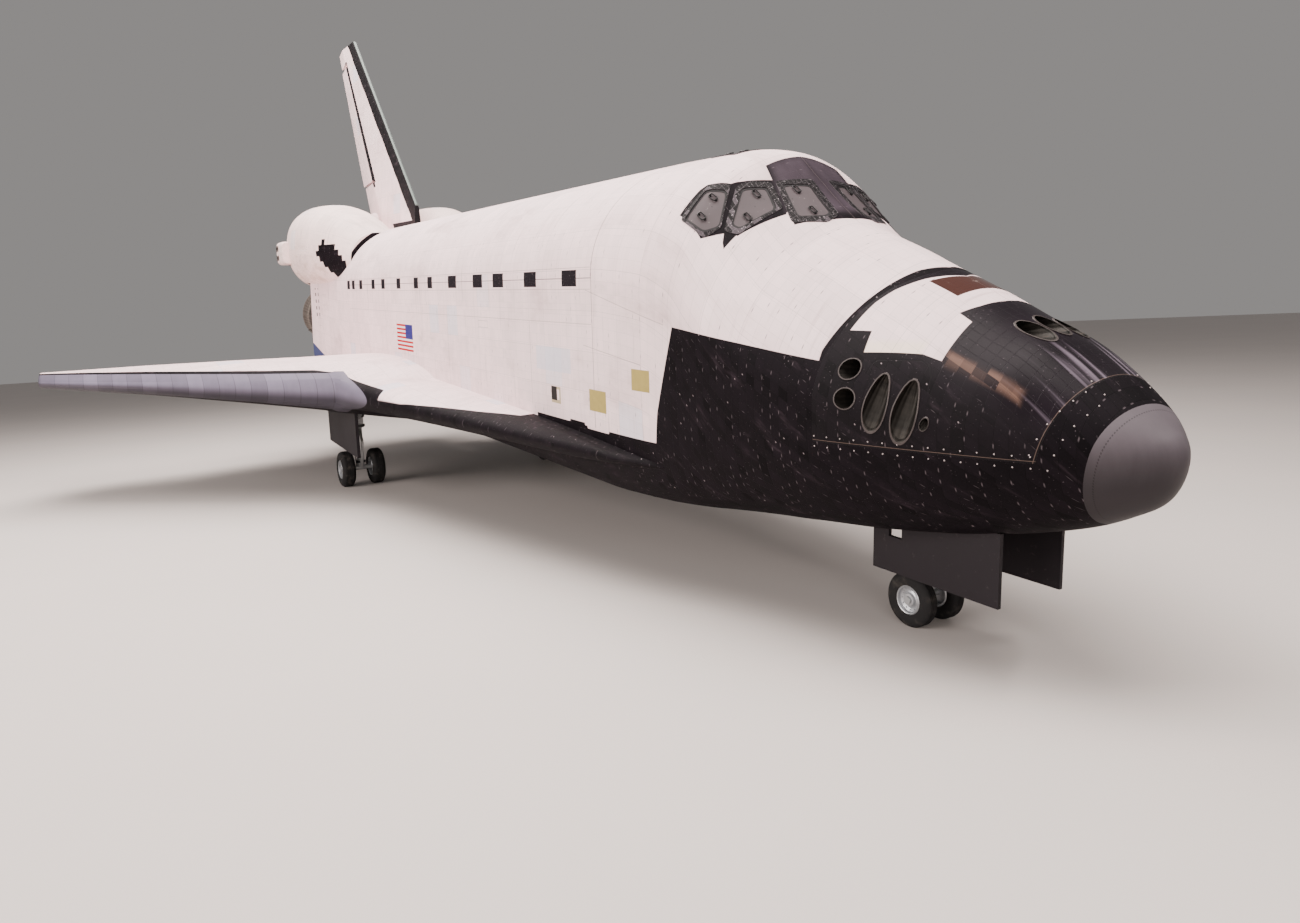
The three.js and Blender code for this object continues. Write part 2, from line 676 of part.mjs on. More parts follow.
function leftWing() {
  let body = wingBlank().subtract(edgeSpace(SEAT_GAP)).subtract(mainWell());
  for (const row of ELEVONS) {
    const ends = elevonEnds(row, COVE_GAP, RUNNING_GAP, 0);
    body = body.subtract(flapSpace(ends, ELEVON_SWEEP.up, ELEVON_SWEEP.down));
  }
  const [[, firstEnd], [, , lastEnd]] = ELEVONS;
  const bore = bar(elevonHinge(firstEnd - 60), elevonHinge(lastEnd + 50), PIN.bore, PIN.bore, PIN.sides);
  body = body.subtract(bore);
  const behind = block(ELEVON_HINGE + RIB_DEPTH, FAR, 2000, 12500, -1500, 3000);
  const underBelly = block(0, FAR, 0, SILL.halfWidth + 15, -1500, 120);
  return body.subtract(behind).subtract(underBelly).subtract(hull(4000, LAST + 400, SEAT_GAP));
}

const flapHinge = (out) => place(BODY_FLAP.hinge, out, BODY_FLAP.height);

// A lug on the body beside one end of the body flap, bored for its pin.
function flapLug(side) {
  const f = BODY_FLAP;
  const inner = side * (f.halfWidth + RUNNING_GAP);
  const outer = inner + side * f.lug;
  const low = Math.min(inner, outer);
  const arm = block(LAST - 300, f.hinge, low, low + f.lug, f.height - 110, f.height + 110);
  return arm.add(bar(flapHinge(inner), flapHinge(outer), 110, 110, 16))
    .subtract(bar(flapHinge(inner - side), flapHinge(outer - side * 20), PIN.bore, PIN.bore, PIN.sides));
}

function bodyFlap() {
  const f = BODY_FLAP;
  const over = f.halfWidth + RUNNING_GAP + PIN.reach;
  const pin = bar(flapHinge(-over), flapHinge(over), PIN.radius, PIN.radius, PIN.sides);
  return pin.add(flap([-1, 1].map((side) => ({
    hinge: place(f.hinge, side * f.halfWidth, f.height), radius: f.radius,
    aft: place(f.hinge + f.length, side * f.halfWidth, f.height),
  })), 30));
}

// Fin

const finLeading = (height) => FIN.front + (height - FIN.foot) * FIN.frontSlope;
const finTrailing = (height) => FIN.aft + (height - FIN.foot) * FIN.aftSlope;
const rudderShare = (height) => (height - RUDDER.bottom) / (RUDDER.top - RUDDER.bottom);
const hingeStation = (height) => lerp(RUDDER.hingeBottom, RUDDER.hingeTop, rudderShare(height));
const hingeHalf = (height) => lerp(RUDDER.radiusBottom, RUDDER.radiusTop, rudderShare(height));

function finShape(grow = 0) {
  const rings = [FIN.foot - 500, FIN.top].map((height) => {
    const front = finLeading(height);
    const hinge = hingeStation(height);
    const half = hingeHalf(height) + grow;
    const nose = FIN.noseRadius + grow;
    const side = [[front - grow, 0], [front + 30, nose * 0.75], [front + 160, nose * 1.3],
      [hinge, half], [finTrailing(height) + grow, 22 + grow]];
    return [...side.map(([s, y]) => place(s, y, height)),
      ...side.slice(1).reverse().map(([s, y]) => place(s, -y, height))];
  });
  return loft(rings).intersect(block(FIN.clearFront, FAR, -WIDE, WIDE, 0, FIN.top));
}

const hingePoint = (height) => place(hingeStation(height), 0, height);

function rudderEnds(ratio, extra) {
  return [RUDDER.bottom - 700, RUDDER.top + 900].map((height) => {
    const hinge = hingePoint(height);
    const along = hingePoint(RUDDER.top).sub(hingePoint(RUDDER.bottom)).normalize();
    const aft = place(finTrailing(height) + extra, 0, height);
    const back = new THREE.Vector3().subVectors(aft, hinge);
    const length = back.length() * 1.02;
    const u = new THREE.Vector3(-1, 0, 0);
    u.addScaledVector(along, -u.dot(along)).normalize();
    return { hinge, radius: hingeHalf(height) * ratio, aft: hinge.clone().addScaledVector(u, length) };
  });
}

function verticalFin() {
  const r = RUDDER;
  const window = block(0, FAR, -WIDE, WIDE, r.bottom - r.lowerGap, r.top + r.upperGap);
  const ends = rudderEnds(RUDDER.coveRatio, 3000);
  let body = finShape();
  body = body.subtract(flapSpace(ends, 0, 0).intersect(window));
  const low = hingePoint(r.bottom - r.lowerGap - 160);
  const high = hingePoint(r.top + r.upperGap + 120);
  body = body.subtract(bar(low, high, r.coreBore, r.coreBore, PIN.sides));
  const housing = turned(CHUTE.profile, place(CHUTE.station, 0, CHUTE.height),
    new THREE.Vector3(-1, 0, 0.06), 24);
  const aboveEngine = block(FIN.overhang, FAR, -WIDE, WIDE, 0, FIN.overhangHeight);
  return body.subtract(aboveEngine).add(housing).subtract(hull(26000, LAST + 400, SEAT_GAP));
}

function rudderCore() {
  const r = RUDDER;
  return bar(hingePoint(r.bottom - r.lowerGap - 130), hingePoint(r.top + r.upperGap + 100),
    r.core, r.core, PIN.sides);
}

// Half of the split rudder, on the left of the middle.
function rudderPanel() {
  const r = RUDDER;
  const slab = block(0, FAR, 4, WIDE, r.bottom, r.top);
  const rings = rudderEnds(1, 0).map(({ hinge, radius, aft }) => {
    const u = new THREE.Vector3().subVectors(aft, hinge);
    const length = u.length();
    u.normalize();
    const at = (x, y) => hinge.clone().addScaledVector(u, x).add(new THREE.Vector3(0, y, 0));
    const ring = [at(length, 0), at(length, 14)];
    for (let i = 0; i <= 4; i += 1) {
      const a = rad(lerp(86, 118, i / 4));
      ring.push(at(radius * Math.cos(a), radius * Math.sin(a)));
    }
    ring.push(at(0, 0));
    return ring;
  });
  const bore = bar(hingePoint(r.bottom - 900), hingePoint(r.top + 900), r.coreBore, r.coreBore, PIN.sides);
  return loft(rings).intersect(slab).subtract(bore);
}

// Landing gear

// A ring about a wheel's axle, turned so that one of its sides lies flat on the ground.
function wheelRing(profile, centre, side) {
  const ring = turned(profile, new THREE.Vector3(), new THREE.Vector3(0, side, 0), WHEEL_SIDES);
  return ring.rotate([0, 180 / WHEEL_SIDES - REST_PITCH, 0]).translate([centre.x, centre.y, centre.z]);
}

function tyre(centre, radius, width) {
  const half = width / 2;
  const bead = radius * 0.53;
  const tread = radius / Math.cos(Math.PI / WHEEL_SIDES);
  const profile = [[bead, -half * 0.82], [radius * 0.72, -half], [radius * 0.92, -half * 0.85],
    [tread, -half * 0.45], [tread, half * 0.45], [radius * 0.92, half * 0.85],
    [radius * 0.72, half], [bead, half * 0.82], [bead, -half * 0.82]];
  return wheelRing(profile, centre, 1);
}

function rim(centre, radius, width, hub, side) {
  const half = width / 2;
  const outer = radius * 0.53 - SEAT_GAP;
  const profile = [[hub, -half * 0.5], [outer * 0.5, -half * 0.5], [outer * 0.86, -half * 0.1],
    [outer * 0.86, -half * 0.85], [outer, -half * 0.85], [outer, half * 0.85],
    [outer * 0.86, half * 0.85], [outer * 0.5, half * 0.3], [outer * 0.42, half * 0.7],
    [hub, half * 0.7], [hub, -half * 0.5]];
  return wheelRing(profile, centre, side);
}

function mainLeg() {
  const g = MAIN_GEAR;
  const axle = groundHeight(g.station) + g.tyreRadius / Math.cos(rad(REST_PITCH));
  const foot = place(g.station, g.out, axle);
  const roof = g.wellRoof - SEAT_GAP;
  const barrel = bar(place(g.station, g.out, -650), place(g.station, g.out, roof), 175, 190, 14);
  const piston = bar(foot, place(g.station, g.out, -600), 115, 115, 14);
  const axleBar = bar(place(g.station, g.out - g.wheelOut - 170, axle),
    place(g.station, g.out + g.wheelOut + 170, axle), 78, 78, 14);
  const brace = bar(place(g.station, g.out, -420), place(g.wellFront + 900, g.out, roof - 70), 75, 75, 12);
  const side = bar(place(g.station, g.out, -200), place(g.station, g.out - 560, roof - 70), 60, 60, 12);
  const trunnion = bar(place(g.station, g.out - 600, roof - 190),
    place(g.station, g.out + 600, roof - 190), 110, 110, 12);
  const link = loft([-45, 45].map((y) => [place(g.station - 90, g.out + y, -640),
    place(g.station - 420, g.out + y, -1050), place(g.station - 90, g.out + y, axle - 60),
    place(g.station - 40, g.out + y, axle + 60), place(g.station - 290, g.out + y, -1050),
    place(g.station - 90, g.out + y, -760)]));
  return barrel.add(piston).add(axleBar).add(brace).add(side).add(trunnion).add(link)
    .subtract(block(0, FAR, -WIDE, WIDE, roof, WIDE));
}

function mainDoor() {
  const g = MAIN_GEAR;
  const outer = g.wellOuter - SEAT_GAP;
  return block(g.wellFront + 60, g.wellAft - 60, outer - 90, outer, -1050, 420);
}

function noseStrut() {
  const g = NOSE_GEAR;
  const roof = g.wellRoof - SEAT_GAP;
  const barrel = bar(place(g.station, 0, -330), place(g.station, 0, roof), 120, 135, 14);
  const pivot = bar(place(g.station, -g.wellHalf + SEAT_GAP, roof - 160),
    place(g.station, g.wellHalf - SEAT_GAP, roof - 160), 80, 80, 12);
  const brace = bar(place(g.station - 60, 0, -40), place(g.wellFront + 500, 0, roof - 60), 55, 55, 12);
  const bore = bar(place(g.station, 0, -400), place(g.station, 0, 200), g.strutBore, g.strutBore, PIN.sides);
  return barrel.add(pivot).add(brace).subtract(bore).subtract(block(0, FAR, -WIDE, WIDE, roof, WIDE));
}

function noseSteering() {
  const g = NOSE_GEAR;
  const axle = groundHeight(g.station) + g.tyreRadius / Math.cos(rad(REST_PITCH));
  const foot = place(g.station, 0, axle);
  const piston = bar(foot, place(g.station, 0, 150), g.strutRadius, g.strutRadius, PIN.sides);
  const axleBar = bar(place(g.station, -g.wheelOut - 105, axle), place(g.station, g.wheelOut + 105, axle),
    50, 50, PIN.sides);
  const collar = bar(place(g.station, 0, -470), place(g.station, 0, -350), 125, 125, 14);
  return piston.add(axleBar).add(collar);
}

function noseDoor(side) {
  const g = NOSE_GEAR;
  const outer = g.wellHalf - SEAT_GAP;
  const span = side > 0 ? [outer - 60, outer] : [-outer, -outer + 60];
  return block(g.wellFront + 40, g.wellAft - 40, span[0], span[1], -420, 560)
    .subtract(block(g.station - 120, g.station + 120, -WIDE, WIDE, 100, 1000));
}

// Assembly

const FINISH = {
  whiteTile: [0xd9d5d2, 0.85, 0],
  blackTile: [0x26252a, 0.7, 0],
  carbon: [0x55565c, 0.6, 0],
  whiteBlanket: [0xd4d1cf, 0.9, 0],
  radiator: [0xc9ccd2, 0.25, 0.8],
  nozzle: [0x8a7f78, 0.45, 0.9],
  cover: [0x6c6c70, 0.8, 0],
  gearSteel: [0xc4c7ca, 0.4, 0.6],
  rubber: [0x222226, 0.85, 0],
  wheel: [0xbfc2c6, 0.45, 0.7],
};

const craft = new THREE.Group();

function add(name, body, finish) {
  const [color, roughness, metalness] = FINISH[finish];
  const geometry = geometryOf(body);
  geometry.computeVertexNormals();
  const mesh = new THREE.Mesh(geometry, new THREE.MeshStandardMaterial({ color, roughness, metalness }));
  mesh.name = name;
  craft.add(mesh);
}

function addPair(name, leftBody, finish) {
  add(`${name}_left`, leftBody, finish);
  add(`${name}_right`, mirrored(leftBody), finish);
}

add('nose_cap', noseCap(), 'carbon');
add('forward_thruster_module', forwardModule(), 'blackTile');
add('forward_fuselage', forwardFuselage(), 'whiteTile');
for (const [name, corners] of WINDOWS) addPair(`window_cover_${name}`, windowPane(corners, 1), 'cover');
addPair('window_cover_overhead', windowPane(OVERHEAD, 1), 'cover');
add('side_hatch', sideHatch(), 'whiteTile');
add('mid_fuselage', midFuselage(), 'whiteBlanket');
addPair('bay_door', leftDoor(), 'whiteBlanket');
addPair('bay_radiator', leftRadiator(), 'radiator');
add('aft_fuselage', aftFuselage(), 'whiteTile');
addPair('engine_pod', leftPod(), 'whiteBlanket');
add('pod_nozzle_left', podNozzle(1), 'nozzle');
add('pod_nozzle_right', podNozzle(-1), 'nozzle');
for (const [name, ...row] of ENGINES) add(`main_nozzle_${name}`, mainNozzle(...row), 'nozzle');
add('vertical_fin', verticalFin(), 'whiteTile');
add('rudder_core', rudderCore(), 'gearSteel');
addPair('rudder_panel', rudderPanel(), 'whiteTile');
addPair('wing', leftWing(), 'whiteBlanket');
addPair('wing_leading_edge', leftLeadingEdge(), 'carbon');
for (const row of ELEVONS) addPair(`elevon_${row[0]}`, elevon(row), 'blackTile');
add('body_flap', bodyFlap(), 'blackTile');

function addWheels(gear, out, name) {
  const axle = groundHeight(gear.station) + gear.tyreRadius / Math.cos(rad(REST_PITCH));
  const hub = gear === MAIN_GEAR ? 79 : 51;
  for (const [spot, sign] of [['inner', -1], ['outer', 1]]) {
    const side = out < 0 ? -sign : sign;
    const centre = place(gear.station, out + side * gear.wheelOut, axle);
    add(`${name}_tyre_${spot}`, tyre(centre, gear.tyreRadius, gear.tyreWidth), 'rubber');
    add(`${name}_wheel_${spot}`, rim(centre, gear.tyreRadius, gear.tyreWidth, hub, side), 'wheel');
  }
}

addPair('main_leg', mainLeg(), 'gearSteel');
addPair('main_gear_door', mainDoor(), 'blackTile');
add('nose_leg', noseStrut(), 'gearSteel');
add('nose_steering', noseSteering(), 'gearSteel');
add('nose_gear_door_left', noseDoor(1), 'blackTile');
add('nose_gear_door_right', noseDoor(-1), 'blackTile');
addWheels(MAIN_GEAR, MAIN_GEAR.out, 'main_left');
addWheels(MAIN_GEAR, -MAIN_GEAR.out, 'main_right');
addWheels(NOSE_GEAR, 0, 'nose');

craft.rotation.y = rad(REST_PITCH);
craft.updateMatrixWorld(true);
const reach = new THREE.Box3().setFromObject(craft, true);
craft.position.set(-(reach.min.x + reach.max.x) / 2, 0, -reach.min.z);
const assembly = new THREE.Group();
assembly.add(craft);

export default assembly;
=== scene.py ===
"""A winged space orbiter standing on its landing gear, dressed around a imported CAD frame.

Stations are millimetres aft of the nose tip, out is millimetres to the left of the
centreline and height is millimetres above the flat belly, as in the part's source.
spots() turns them into metres in the frame, where the craft sits nose down.
"""

import functools
import math
from types import SimpleNamespace

import bmesh
import bpy
import numpy as np
from mathutils import Matrix, Vector


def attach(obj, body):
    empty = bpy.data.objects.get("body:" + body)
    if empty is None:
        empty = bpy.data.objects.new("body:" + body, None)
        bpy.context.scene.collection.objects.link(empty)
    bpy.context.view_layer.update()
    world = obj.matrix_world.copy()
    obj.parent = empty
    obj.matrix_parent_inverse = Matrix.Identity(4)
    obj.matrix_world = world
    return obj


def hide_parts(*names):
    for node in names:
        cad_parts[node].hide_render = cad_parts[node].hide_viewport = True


bl_info = {
    "name": "Winged Orbiter on Its Gear",
    "version": (1, 0, 0),
    "blender": (4, 5, 0),
    "location": "3D View > Sidebar > Orbiter",
    "description": "Tiled skin, windows, thrusters, nozzles, cargo bay and gear of an orbiter",
    "category": "Object",
}

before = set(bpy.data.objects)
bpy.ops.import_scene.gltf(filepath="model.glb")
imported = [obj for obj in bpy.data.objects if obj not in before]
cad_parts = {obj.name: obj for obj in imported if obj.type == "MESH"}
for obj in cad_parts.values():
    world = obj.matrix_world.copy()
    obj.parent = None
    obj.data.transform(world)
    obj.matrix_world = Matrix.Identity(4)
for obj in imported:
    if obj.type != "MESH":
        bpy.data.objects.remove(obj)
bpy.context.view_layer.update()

PITCH = math.radians(3.5)
# Where the nose's station 0 and belly plane meet, in the frame.
NOSE_ORIGIN = np.array([18.16071662, 0.0, 1.06800426])

METRE = 1000.0
PITCH_COS = math.cos(PITCH)
PITCH_SIN = math.sin(PITCH)

# Body sections as in the part's source: station, height of the crown, height of
# the keel, half width, height where the body is widest, and the powers of the
# rounded square above and below that height.
HULL = np.array([
    [88, 1730, 1651, 36, 1692, 2.0, 2.0],
    [112, 1815, 1545, 118, 1694, 2.0, 2.0],
    [175, 1922, 1368, 255, 1697, 2.0, 2.0],
    [310, 2040, 1160, 490, 1710, 2.0, 2.0],
    [600, 2315, 965, 855, 1760, 2.0, 2.05],
    [1000, 2655, 765, 1115, 1830, 1.96, 2.1],
    [1500, 2990, 600, 1380, 1890, 1.95, 2.25],
    [2100, 3270, 450, 1620, 1960, 1.81, 2.45],
    [2800, 3615, 330, 1890, 2060, 1.7, 2.65],
    [3607, 3965, 230, 2155, 2170, 1.64, 2.9],
    [4300, 4260, 180, 2300, 2330, 1.68, 3.2],
    [4700, 4415, 150, 2350, 2470, 1.68, 3.5],
    [5044, 4555, 130, 2395, 2610, 1.66, 3.75],
    [5300, 4750, 115, 2430, 2730, 1.63, 4.0],
    [5600, 4990, 95, 2465, 2870, 1.63, 4.3],
    [6000, 5340, 65, 2510, 3050, 1.68, 4.8],
    [6600, 5800, 25, 2590, 3330, 1.84, 5.8],
    [7300, 5905, 0, 2645, 3560, 1.98, 7.0],
    [8000, 5905, 0, 2665, 3700, 2.02, 8.5],
    [8788, 5910, 0, 2667, 3800, 2.05, 10.0],
    [27203, 5918, 0, 2667, 3800, 2.05, 10.0],
    [29235, 5918, 0, 2700, 3800, 2.1, 9.0],
    [31000, 5918, 60, 2830, 3800, 2.2, 9.0],
    [32817, 5918, 200, 2980, 3800, 2.3, 10.0],
])

CAP_FOOT = 977.0
CAP_LEAN = 0.185
MODULE_FOOT = 1514.0
MODULE_LEAN = 0.245
MODULE_FLOOR = 1650.0
MODULE_AFT_EDGE = ((3665, 2750), (3560, 3330), (3470, 3600), (3290, 3830), (3130, 4000))
BAY_FRONT = 8788.0
BAY_BULKHEAD = 27203.0
BAY_AFT = 27076.0
BAY_AXIS = 3378.0
BAY_RADIUS = 2286.0
SILL = 3835.0
BODY_END = 32817.0
SEAT_GAP = 0.5
FAR = 40000.0
# Turns places in metres forward, left and up of the nose's origin into frame places.
CRAFT_MATRIX = Matrix.Translation(Vector(NOSE_ORIGIN)) @ Matrix.Rotation(PITCH, 4, "Y")


# Places and sections

def spots(craft):
    """Frame places in metres of points given as station, out and height in millimetres."""
    craft = np.asarray(craft, float) / METRE
    station, out, height = craft[..., 0], craft[..., 1], craft[..., 2]
    turned = np.stack([
        height * PITCH_SIN - station * PITCH_COS, out, station * PITCH_SIN + height * PITCH_COS], -1)
    return turned + NOSE_ORIGIN


def smooth_table(table, at):
    """Rows of a table at the places given, on a curve that never overshoots its rows."""
    table = np.asarray(table, float)
    along = np.sqrt(table[:, 0])
    values = table[:, 1:]
    step = np.diff(along)[:, None]
    rise = np.diff(values, axis=0) / step
    before, after = rise[:-1], rise[1:]
    same = before * after > 0
    weight_before = 2 * step[1:] + step[:-1]
    weight_after = step[1:] + 2 * step[:-1]
    shares = weight_before / np.where(same, before, 1) + weight_after / np.where(same, after, 1)
    middle = np.where(same, (weight_before + weight_after) / np.where(same, shares, 1), 0)
    slope = np.vstack([rise[:1], middle, rise[-1:]])
    place = np.sqrt(np.atleast_1d(np.asarray(at, float)))
    index = np.clip(np.searchsorted(along, place, side="right") - 1, 0, len(along) - 2)
    width = step[index]
    t = ((place - along[index])[:, None]) / width
    start, end = values[index], values[index + 1]
    return ((2 * t ** 3 - 3 * t ** 2 + 1) * start + (3 * t ** 2 - 2 * t ** 3) * end
            + (t ** 3 - 2 * t ** 2 + t) * width * slope[index]
            + (t ** 3 - t ** 2) * width * slope[index + 1])


def section_points(row, angles, grow=0.0):
    """Out and height of a body section at angles from level, in radians."""
    crown, keel, half, widest, upper, lower = row
    cosine, sine = np.cos(angles), np.sin(angles)
    power = 2 / np.where(sine >= 0, upper, lower)
    reach = np.where(sine >= 0, crown - widest, widest - keel) + grow
    out = np.sign(cosine) * (half + grow) * np.abs(cosine) ** power
    return out, widest + np.sign(sine) * reach * np.abs(sine) ** power


def hull_spot(station, degrees, grow=0.0):
    """Craft point on the left side of the body's skin at a section angle."""
    row = smooth_table(HULL, station)[0]
    out, height = section_points(row, np.radians([float(degrees)]), grow)
    return np.array([station, out[0], height[0]])


def half_ring(row, count, grow=0.0):
    """Evenly spaced points down a section's left side, with their girths from the crown."""
    angles = np.linspace(math.pi / 2, -math.pi / 2, 901)
    out, height = section_points(row, angles, grow)
    out[[0, -1]] = 0
    girth = np.concatenate([[0], np.cumsum(np.hypot(np.diff(out), np.diff(height)))])
    even = np.linspace(0, girth[-1], count + 1)
    return np.interp(even, girth, out), np.interp(even, girth, height), even


# Meshes

def grid_faces(rings, points):
    """Quads between neighbouring closed rings, and a face over each end."""
    across = np.arange(points)
    following = (across + 1) % points
    start = np.arange(rings - 1)[:, None] * points
    quads = np.stack([start + across, start + following,
                      start + points + following, start + points + across], -1)
    ends = [across[::-1].tolist(), (across + (rings - 1) * points).tolist()]
    return quads.reshape(-1, 4).tolist() + ends


def linked(name, data):
    """An object in the scene that shows a mesh, curve, lamp or camera."""
    obj = bpy.data.objects.new(name, data)
    bpy.context.scene.collection.objects.link(obj)
    return obj


def evaluated(obj):
    """A new mesh of an object as its modifiers leave it."""
    view = bpy.context.evaluated_depsgraph_get()
    return bpy.data.meshes.new_from_object(obj.evaluated_get(view))


def build(name, points, faces, paint, flow=None):
    """A closed mesh object from frame places, faces and an optional flat map of its skin."""
    mesh = bpy.data.meshes.new(name)
    mesh.from_pydata([tuple(p) for p in np.asarray(points, float)], [], faces)
    if flow is not None:
        layer = mesh.uv_layers.new(name="Skin")
        corners = np.empty(len(mesh.loops), int)
        mesh.loops.foreach_get("vertex_index", corners)
        layer.data.foreach_set("uv", np.asarray(flow, float)[corners].ravel())
    work = bmesh.new()
    work.from_mesh(mesh)
    bmesh.ops.recalc_face_normals(work, faces=work.faces)
    work.to_mesh(mesh)
    work.free()
    mesh.materials.append(paint_of(paint))
    return linked(name, mesh)


def loft(name, rings, paint, flow=None):
    """A closed form through rings of craft points, each ring with the same count."""
    rings = np.asarray(rings, float)
    faces = grid_faces(rings.shape[0], rings.shape[1])
    if flow == "ring":
        steps = np.linalg.norm(np.diff(rings, axis=1), axis=2)
        around = np.concatenate([np.zeros((len(rings), 1)), np.cumsum(steps, axis=1)], axis=1)
        flow = np.stack([rings[..., 0], around], -1) / METRE
    flat = None if flow is None else np.asarray(flow, float).reshape(-1, 2)
    return build(name, spots(rings.reshape(-1, 3)), faces, paint, flat)


def hull_loft(name, stations, paint, grow=0.0, count=110):
    """The body's skin between the first and last of the stations."""
    rings, flows = [], []
    for station, row in zip(stations, smooth_table(HULL, stations)):
        out, height, girth = half_ring(row, count, grow)
        full_out = np.concatenate([out, -out[-2:0:-1]])
        full_height = np.concatenate([height, height[-2:0:-1]])
        full_girth = np.concatenate([girth, girth[-2:0:-1]])
        along = np.full_like(full_out, station)
        rings.append(np.stack([along, full_out, full_height], -1))
        flows.append(np.stack([along, full_girth], -1) / METRE)
    return loft(name, rings, paint, flows)


def side_block(name, corners, paint, half=FAR / 4):
    """A block across the whole craft over corners given as station and height."""
    return loft(name, [[(s, out, h) for s, h in corners] for out in (-half, half)], paint)


def block(name, stations, outs, heights, paint):
    """A plain block between pairs of stations, outs and heights."""
    s, o, h = stations, outs, heights
    ring = [(o[0], h[0]), (o[1], h[0]), (o[1], h[1]), (o[0], h[1])]
    return loft(name, [[(station, out, height) for out, height in ring] for station in s], paint)


def axis_frame(way):
    """A direction at length 1, and two directions square to it."""
    way = np.asarray(way, float) / np.linalg.norm(way)
    aside = np.cross(way, (0, 0, 1) if abs(way[2]) < 0.9 else (0, 1, 0))
    aside /= np.linalg.norm(aside)
    return way, aside, np.cross(way, aside)


def turned(name, profile, start, way, paint, sides=48):
    """A form turned from radius and distance pairs along an axis; a closed profile makes a ring."""
    profile = list(profile)
    way, aside, third = axis_frame(way)
    angles = np.arange(sides) * 2 * math.pi / sides
    circle = np.cos(angles)[:, None] * aside + np.sin(angles)[:, None] * third
    rings = [np.asarray(start) + way * distance + circle * radius for radius, distance in profile]
    points = np.asarray(rings)
    flow = np.stack([np.repeat([distance for _, distance in profile], sides),
                     np.tile(np.arange(sides) * METRE / sides, len(profile))], -1) / METRE
    count = len(profile)
    faces = grid_faces(count, sides)[:-2]
    closed = profile[0] == profile[-1]
    if closed:
        points = points[:-1]
        flow = flow[:-sides]
        faces = [[i % ((count - 1) * sides) for i in face] for face in faces]
    else:
        faces += [list(range(sides)), list(range((count - 1) * sides, count * sides))]
    return build(name, spots(points.reshape(-1, 3)), faces, paint, flow)


def rod(name, start, end, radius_start, radius_end, paint, sides=24):
    """A round bar between two craft points."""
    start, end = np.asarray(start, float), np.asarray(end, float)
    length = float(np.linalg.norm(end - start))
    return turned(name, [(radius_start, 0), (radius_end, length)], start, end - start, paint, sides)


def joined(name, objects):
    """One object from several that share their materials. The several are removed."""
    work = bmesh.new()
    for part in objects:
        work.from_mesh(part.data)
    mesh = bpy.data.meshes.new(name)
    for material in objects[0].data.materials:
        mesh.materials.append(material)
    work.to_mesh(mesh)
    work.free()
    for part in objects:
        bpy.data.objects.remove(part)
    return linked(name, mesh)


def mirrored(obj, name):
    """A copy of an object on the other side of the craft."""
    mesh = obj.data.copy()
    mesh.transform(Matrix.Diagonal((1.0, -1.0, 1.0, 1.0)))
    mesh.flip_normals()
    return linked(name, mesh)


def copied(obj, name):
    """A second object with its own copy of the mesh."""
    return linked(name, obj.data.copy())


def tube(name, points, radius, paint, sides=10):
    """A round rod bent along craft points."""
    places = spots(points)
    route = bpy.data.curves.new(name, "CURVE")
    route.dimensions = "3D"
    route.bevel_depth = radius / METRE
    route.bevel_resolution = max(1, sides // 4)
    route.use_fill_caps = True
    line = route.splines.new("POLY")
    line.points.add(len(places) - 1)
    for knot, place in zip(line.points, places):
        knot.co = (*place, 1.0)
    holder = linked(name + "_route", route)
    mesh = evaluated(holder)
    bpy.data.objects.remove(holder)
    bpy.data.curves.remove(route)
    mesh.materials.clear()
    mesh.materials.append(paint_of(paint))
    return linked(name, mesh)


def rounded(points, share=0.3, steps=4):
    """A path with each inner corner turned into a short curve."""
    points = [np.asarray(p, float) for p in points]
    path = [points[0]]
    for before, corner, after in zip(points, points[1:], points[2:]):
        start = corner + (before - corner) * share
        end = corner + (after - corner) * share
        for t in np.linspace(0, 1, steps + 1):
            path.append(start * (1 - t) ** 2 + 2 * corner * t * (1 - t) + end * t ** 2)
    return path + [points[-1]]


def bevelled(obj, width, steps=2):
    """Rounds an object's edges by a width in millimetres."""
    edge = obj.modifiers.new("edge", "BEVEL")
    edge.width = width / METRE
    edge.segments = steps
    edge.limit_method = "ANGLE"
    edge.angle_limit = math.radians(40)
    return settle(obj)


def carve(obj, cutters, operation="DIFFERENCE"):
    """Applies cutters to an object's mesh in turn and removes them."""
    for cutter in cutters:
        cut = obj.modifiers.new("cut", "BOOLEAN")
        cut.operation = operation
        cut.solver = "MANIFOLD"
        cut.material_mode = "TRANSFER"
        cut.object = cutter
    settle(obj)
    for cutter in cutters:
        bpy.data.objects.remove(cutter)
    return obj


def settle(obj):
    """Replaces an object's mesh by its evaluated one and clears its modifiers."""
    mesh = evaluated(obj)
    if not mesh.polygons:
        raise RuntimeError(f"{obj.name} came out empty")
    obj.modifiers.clear()
    old = obj.data
    obj.data = mesh
    bpy.data.meshes.remove(old)
    return obj


def soften(obj, degrees=32.0):
    """Smooth shading with sharp edges where faces meet at more than an angle."""
    work = bmesh.new()
    work.from_mesh(obj.data)
    limit = math.radians(degrees)
    for face in work.faces:
        face.smooth = True
    for edge in work.edges:
        edge.smooth = len(edge.link_faces) == 2 and edge.calc_face_angle(0.0) < limit
    work.to_mesh(obj.data)
    work.free()
    return obj


def place_pair(piece, label, slot, node=None):
    """Places a left piece and its mirror image, and lets each stand for its side's node."""
    other = mirrored(piece, label + "_right")
    for obj, word in ((piece, "left"), (other, "right")):
        place_piece(obj, slot, *([f"{node}_{word}"] if node else []))


def place_piece(obj, slot, *nodes, body="airframe"):
    """Smooths a piece, rides it on a body and lets it stand for nodes. Its slot is not used."""
    soften(obj)
    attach(obj, body)
    if nodes:
        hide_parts(*nodes)
    return obj


# Paint: arithmetic that becomes a material's nodes

def linear(red, green, blue):
    """A linear colour from display values of 0 to 255."""
    shades = [value / 255 for value in (red, green, blue)]
    return tuple(v / 12.92 if v <= 0.04045 else ((v + 0.055) / 1.055) ** 2.4 for v in shades) + (1.0,)


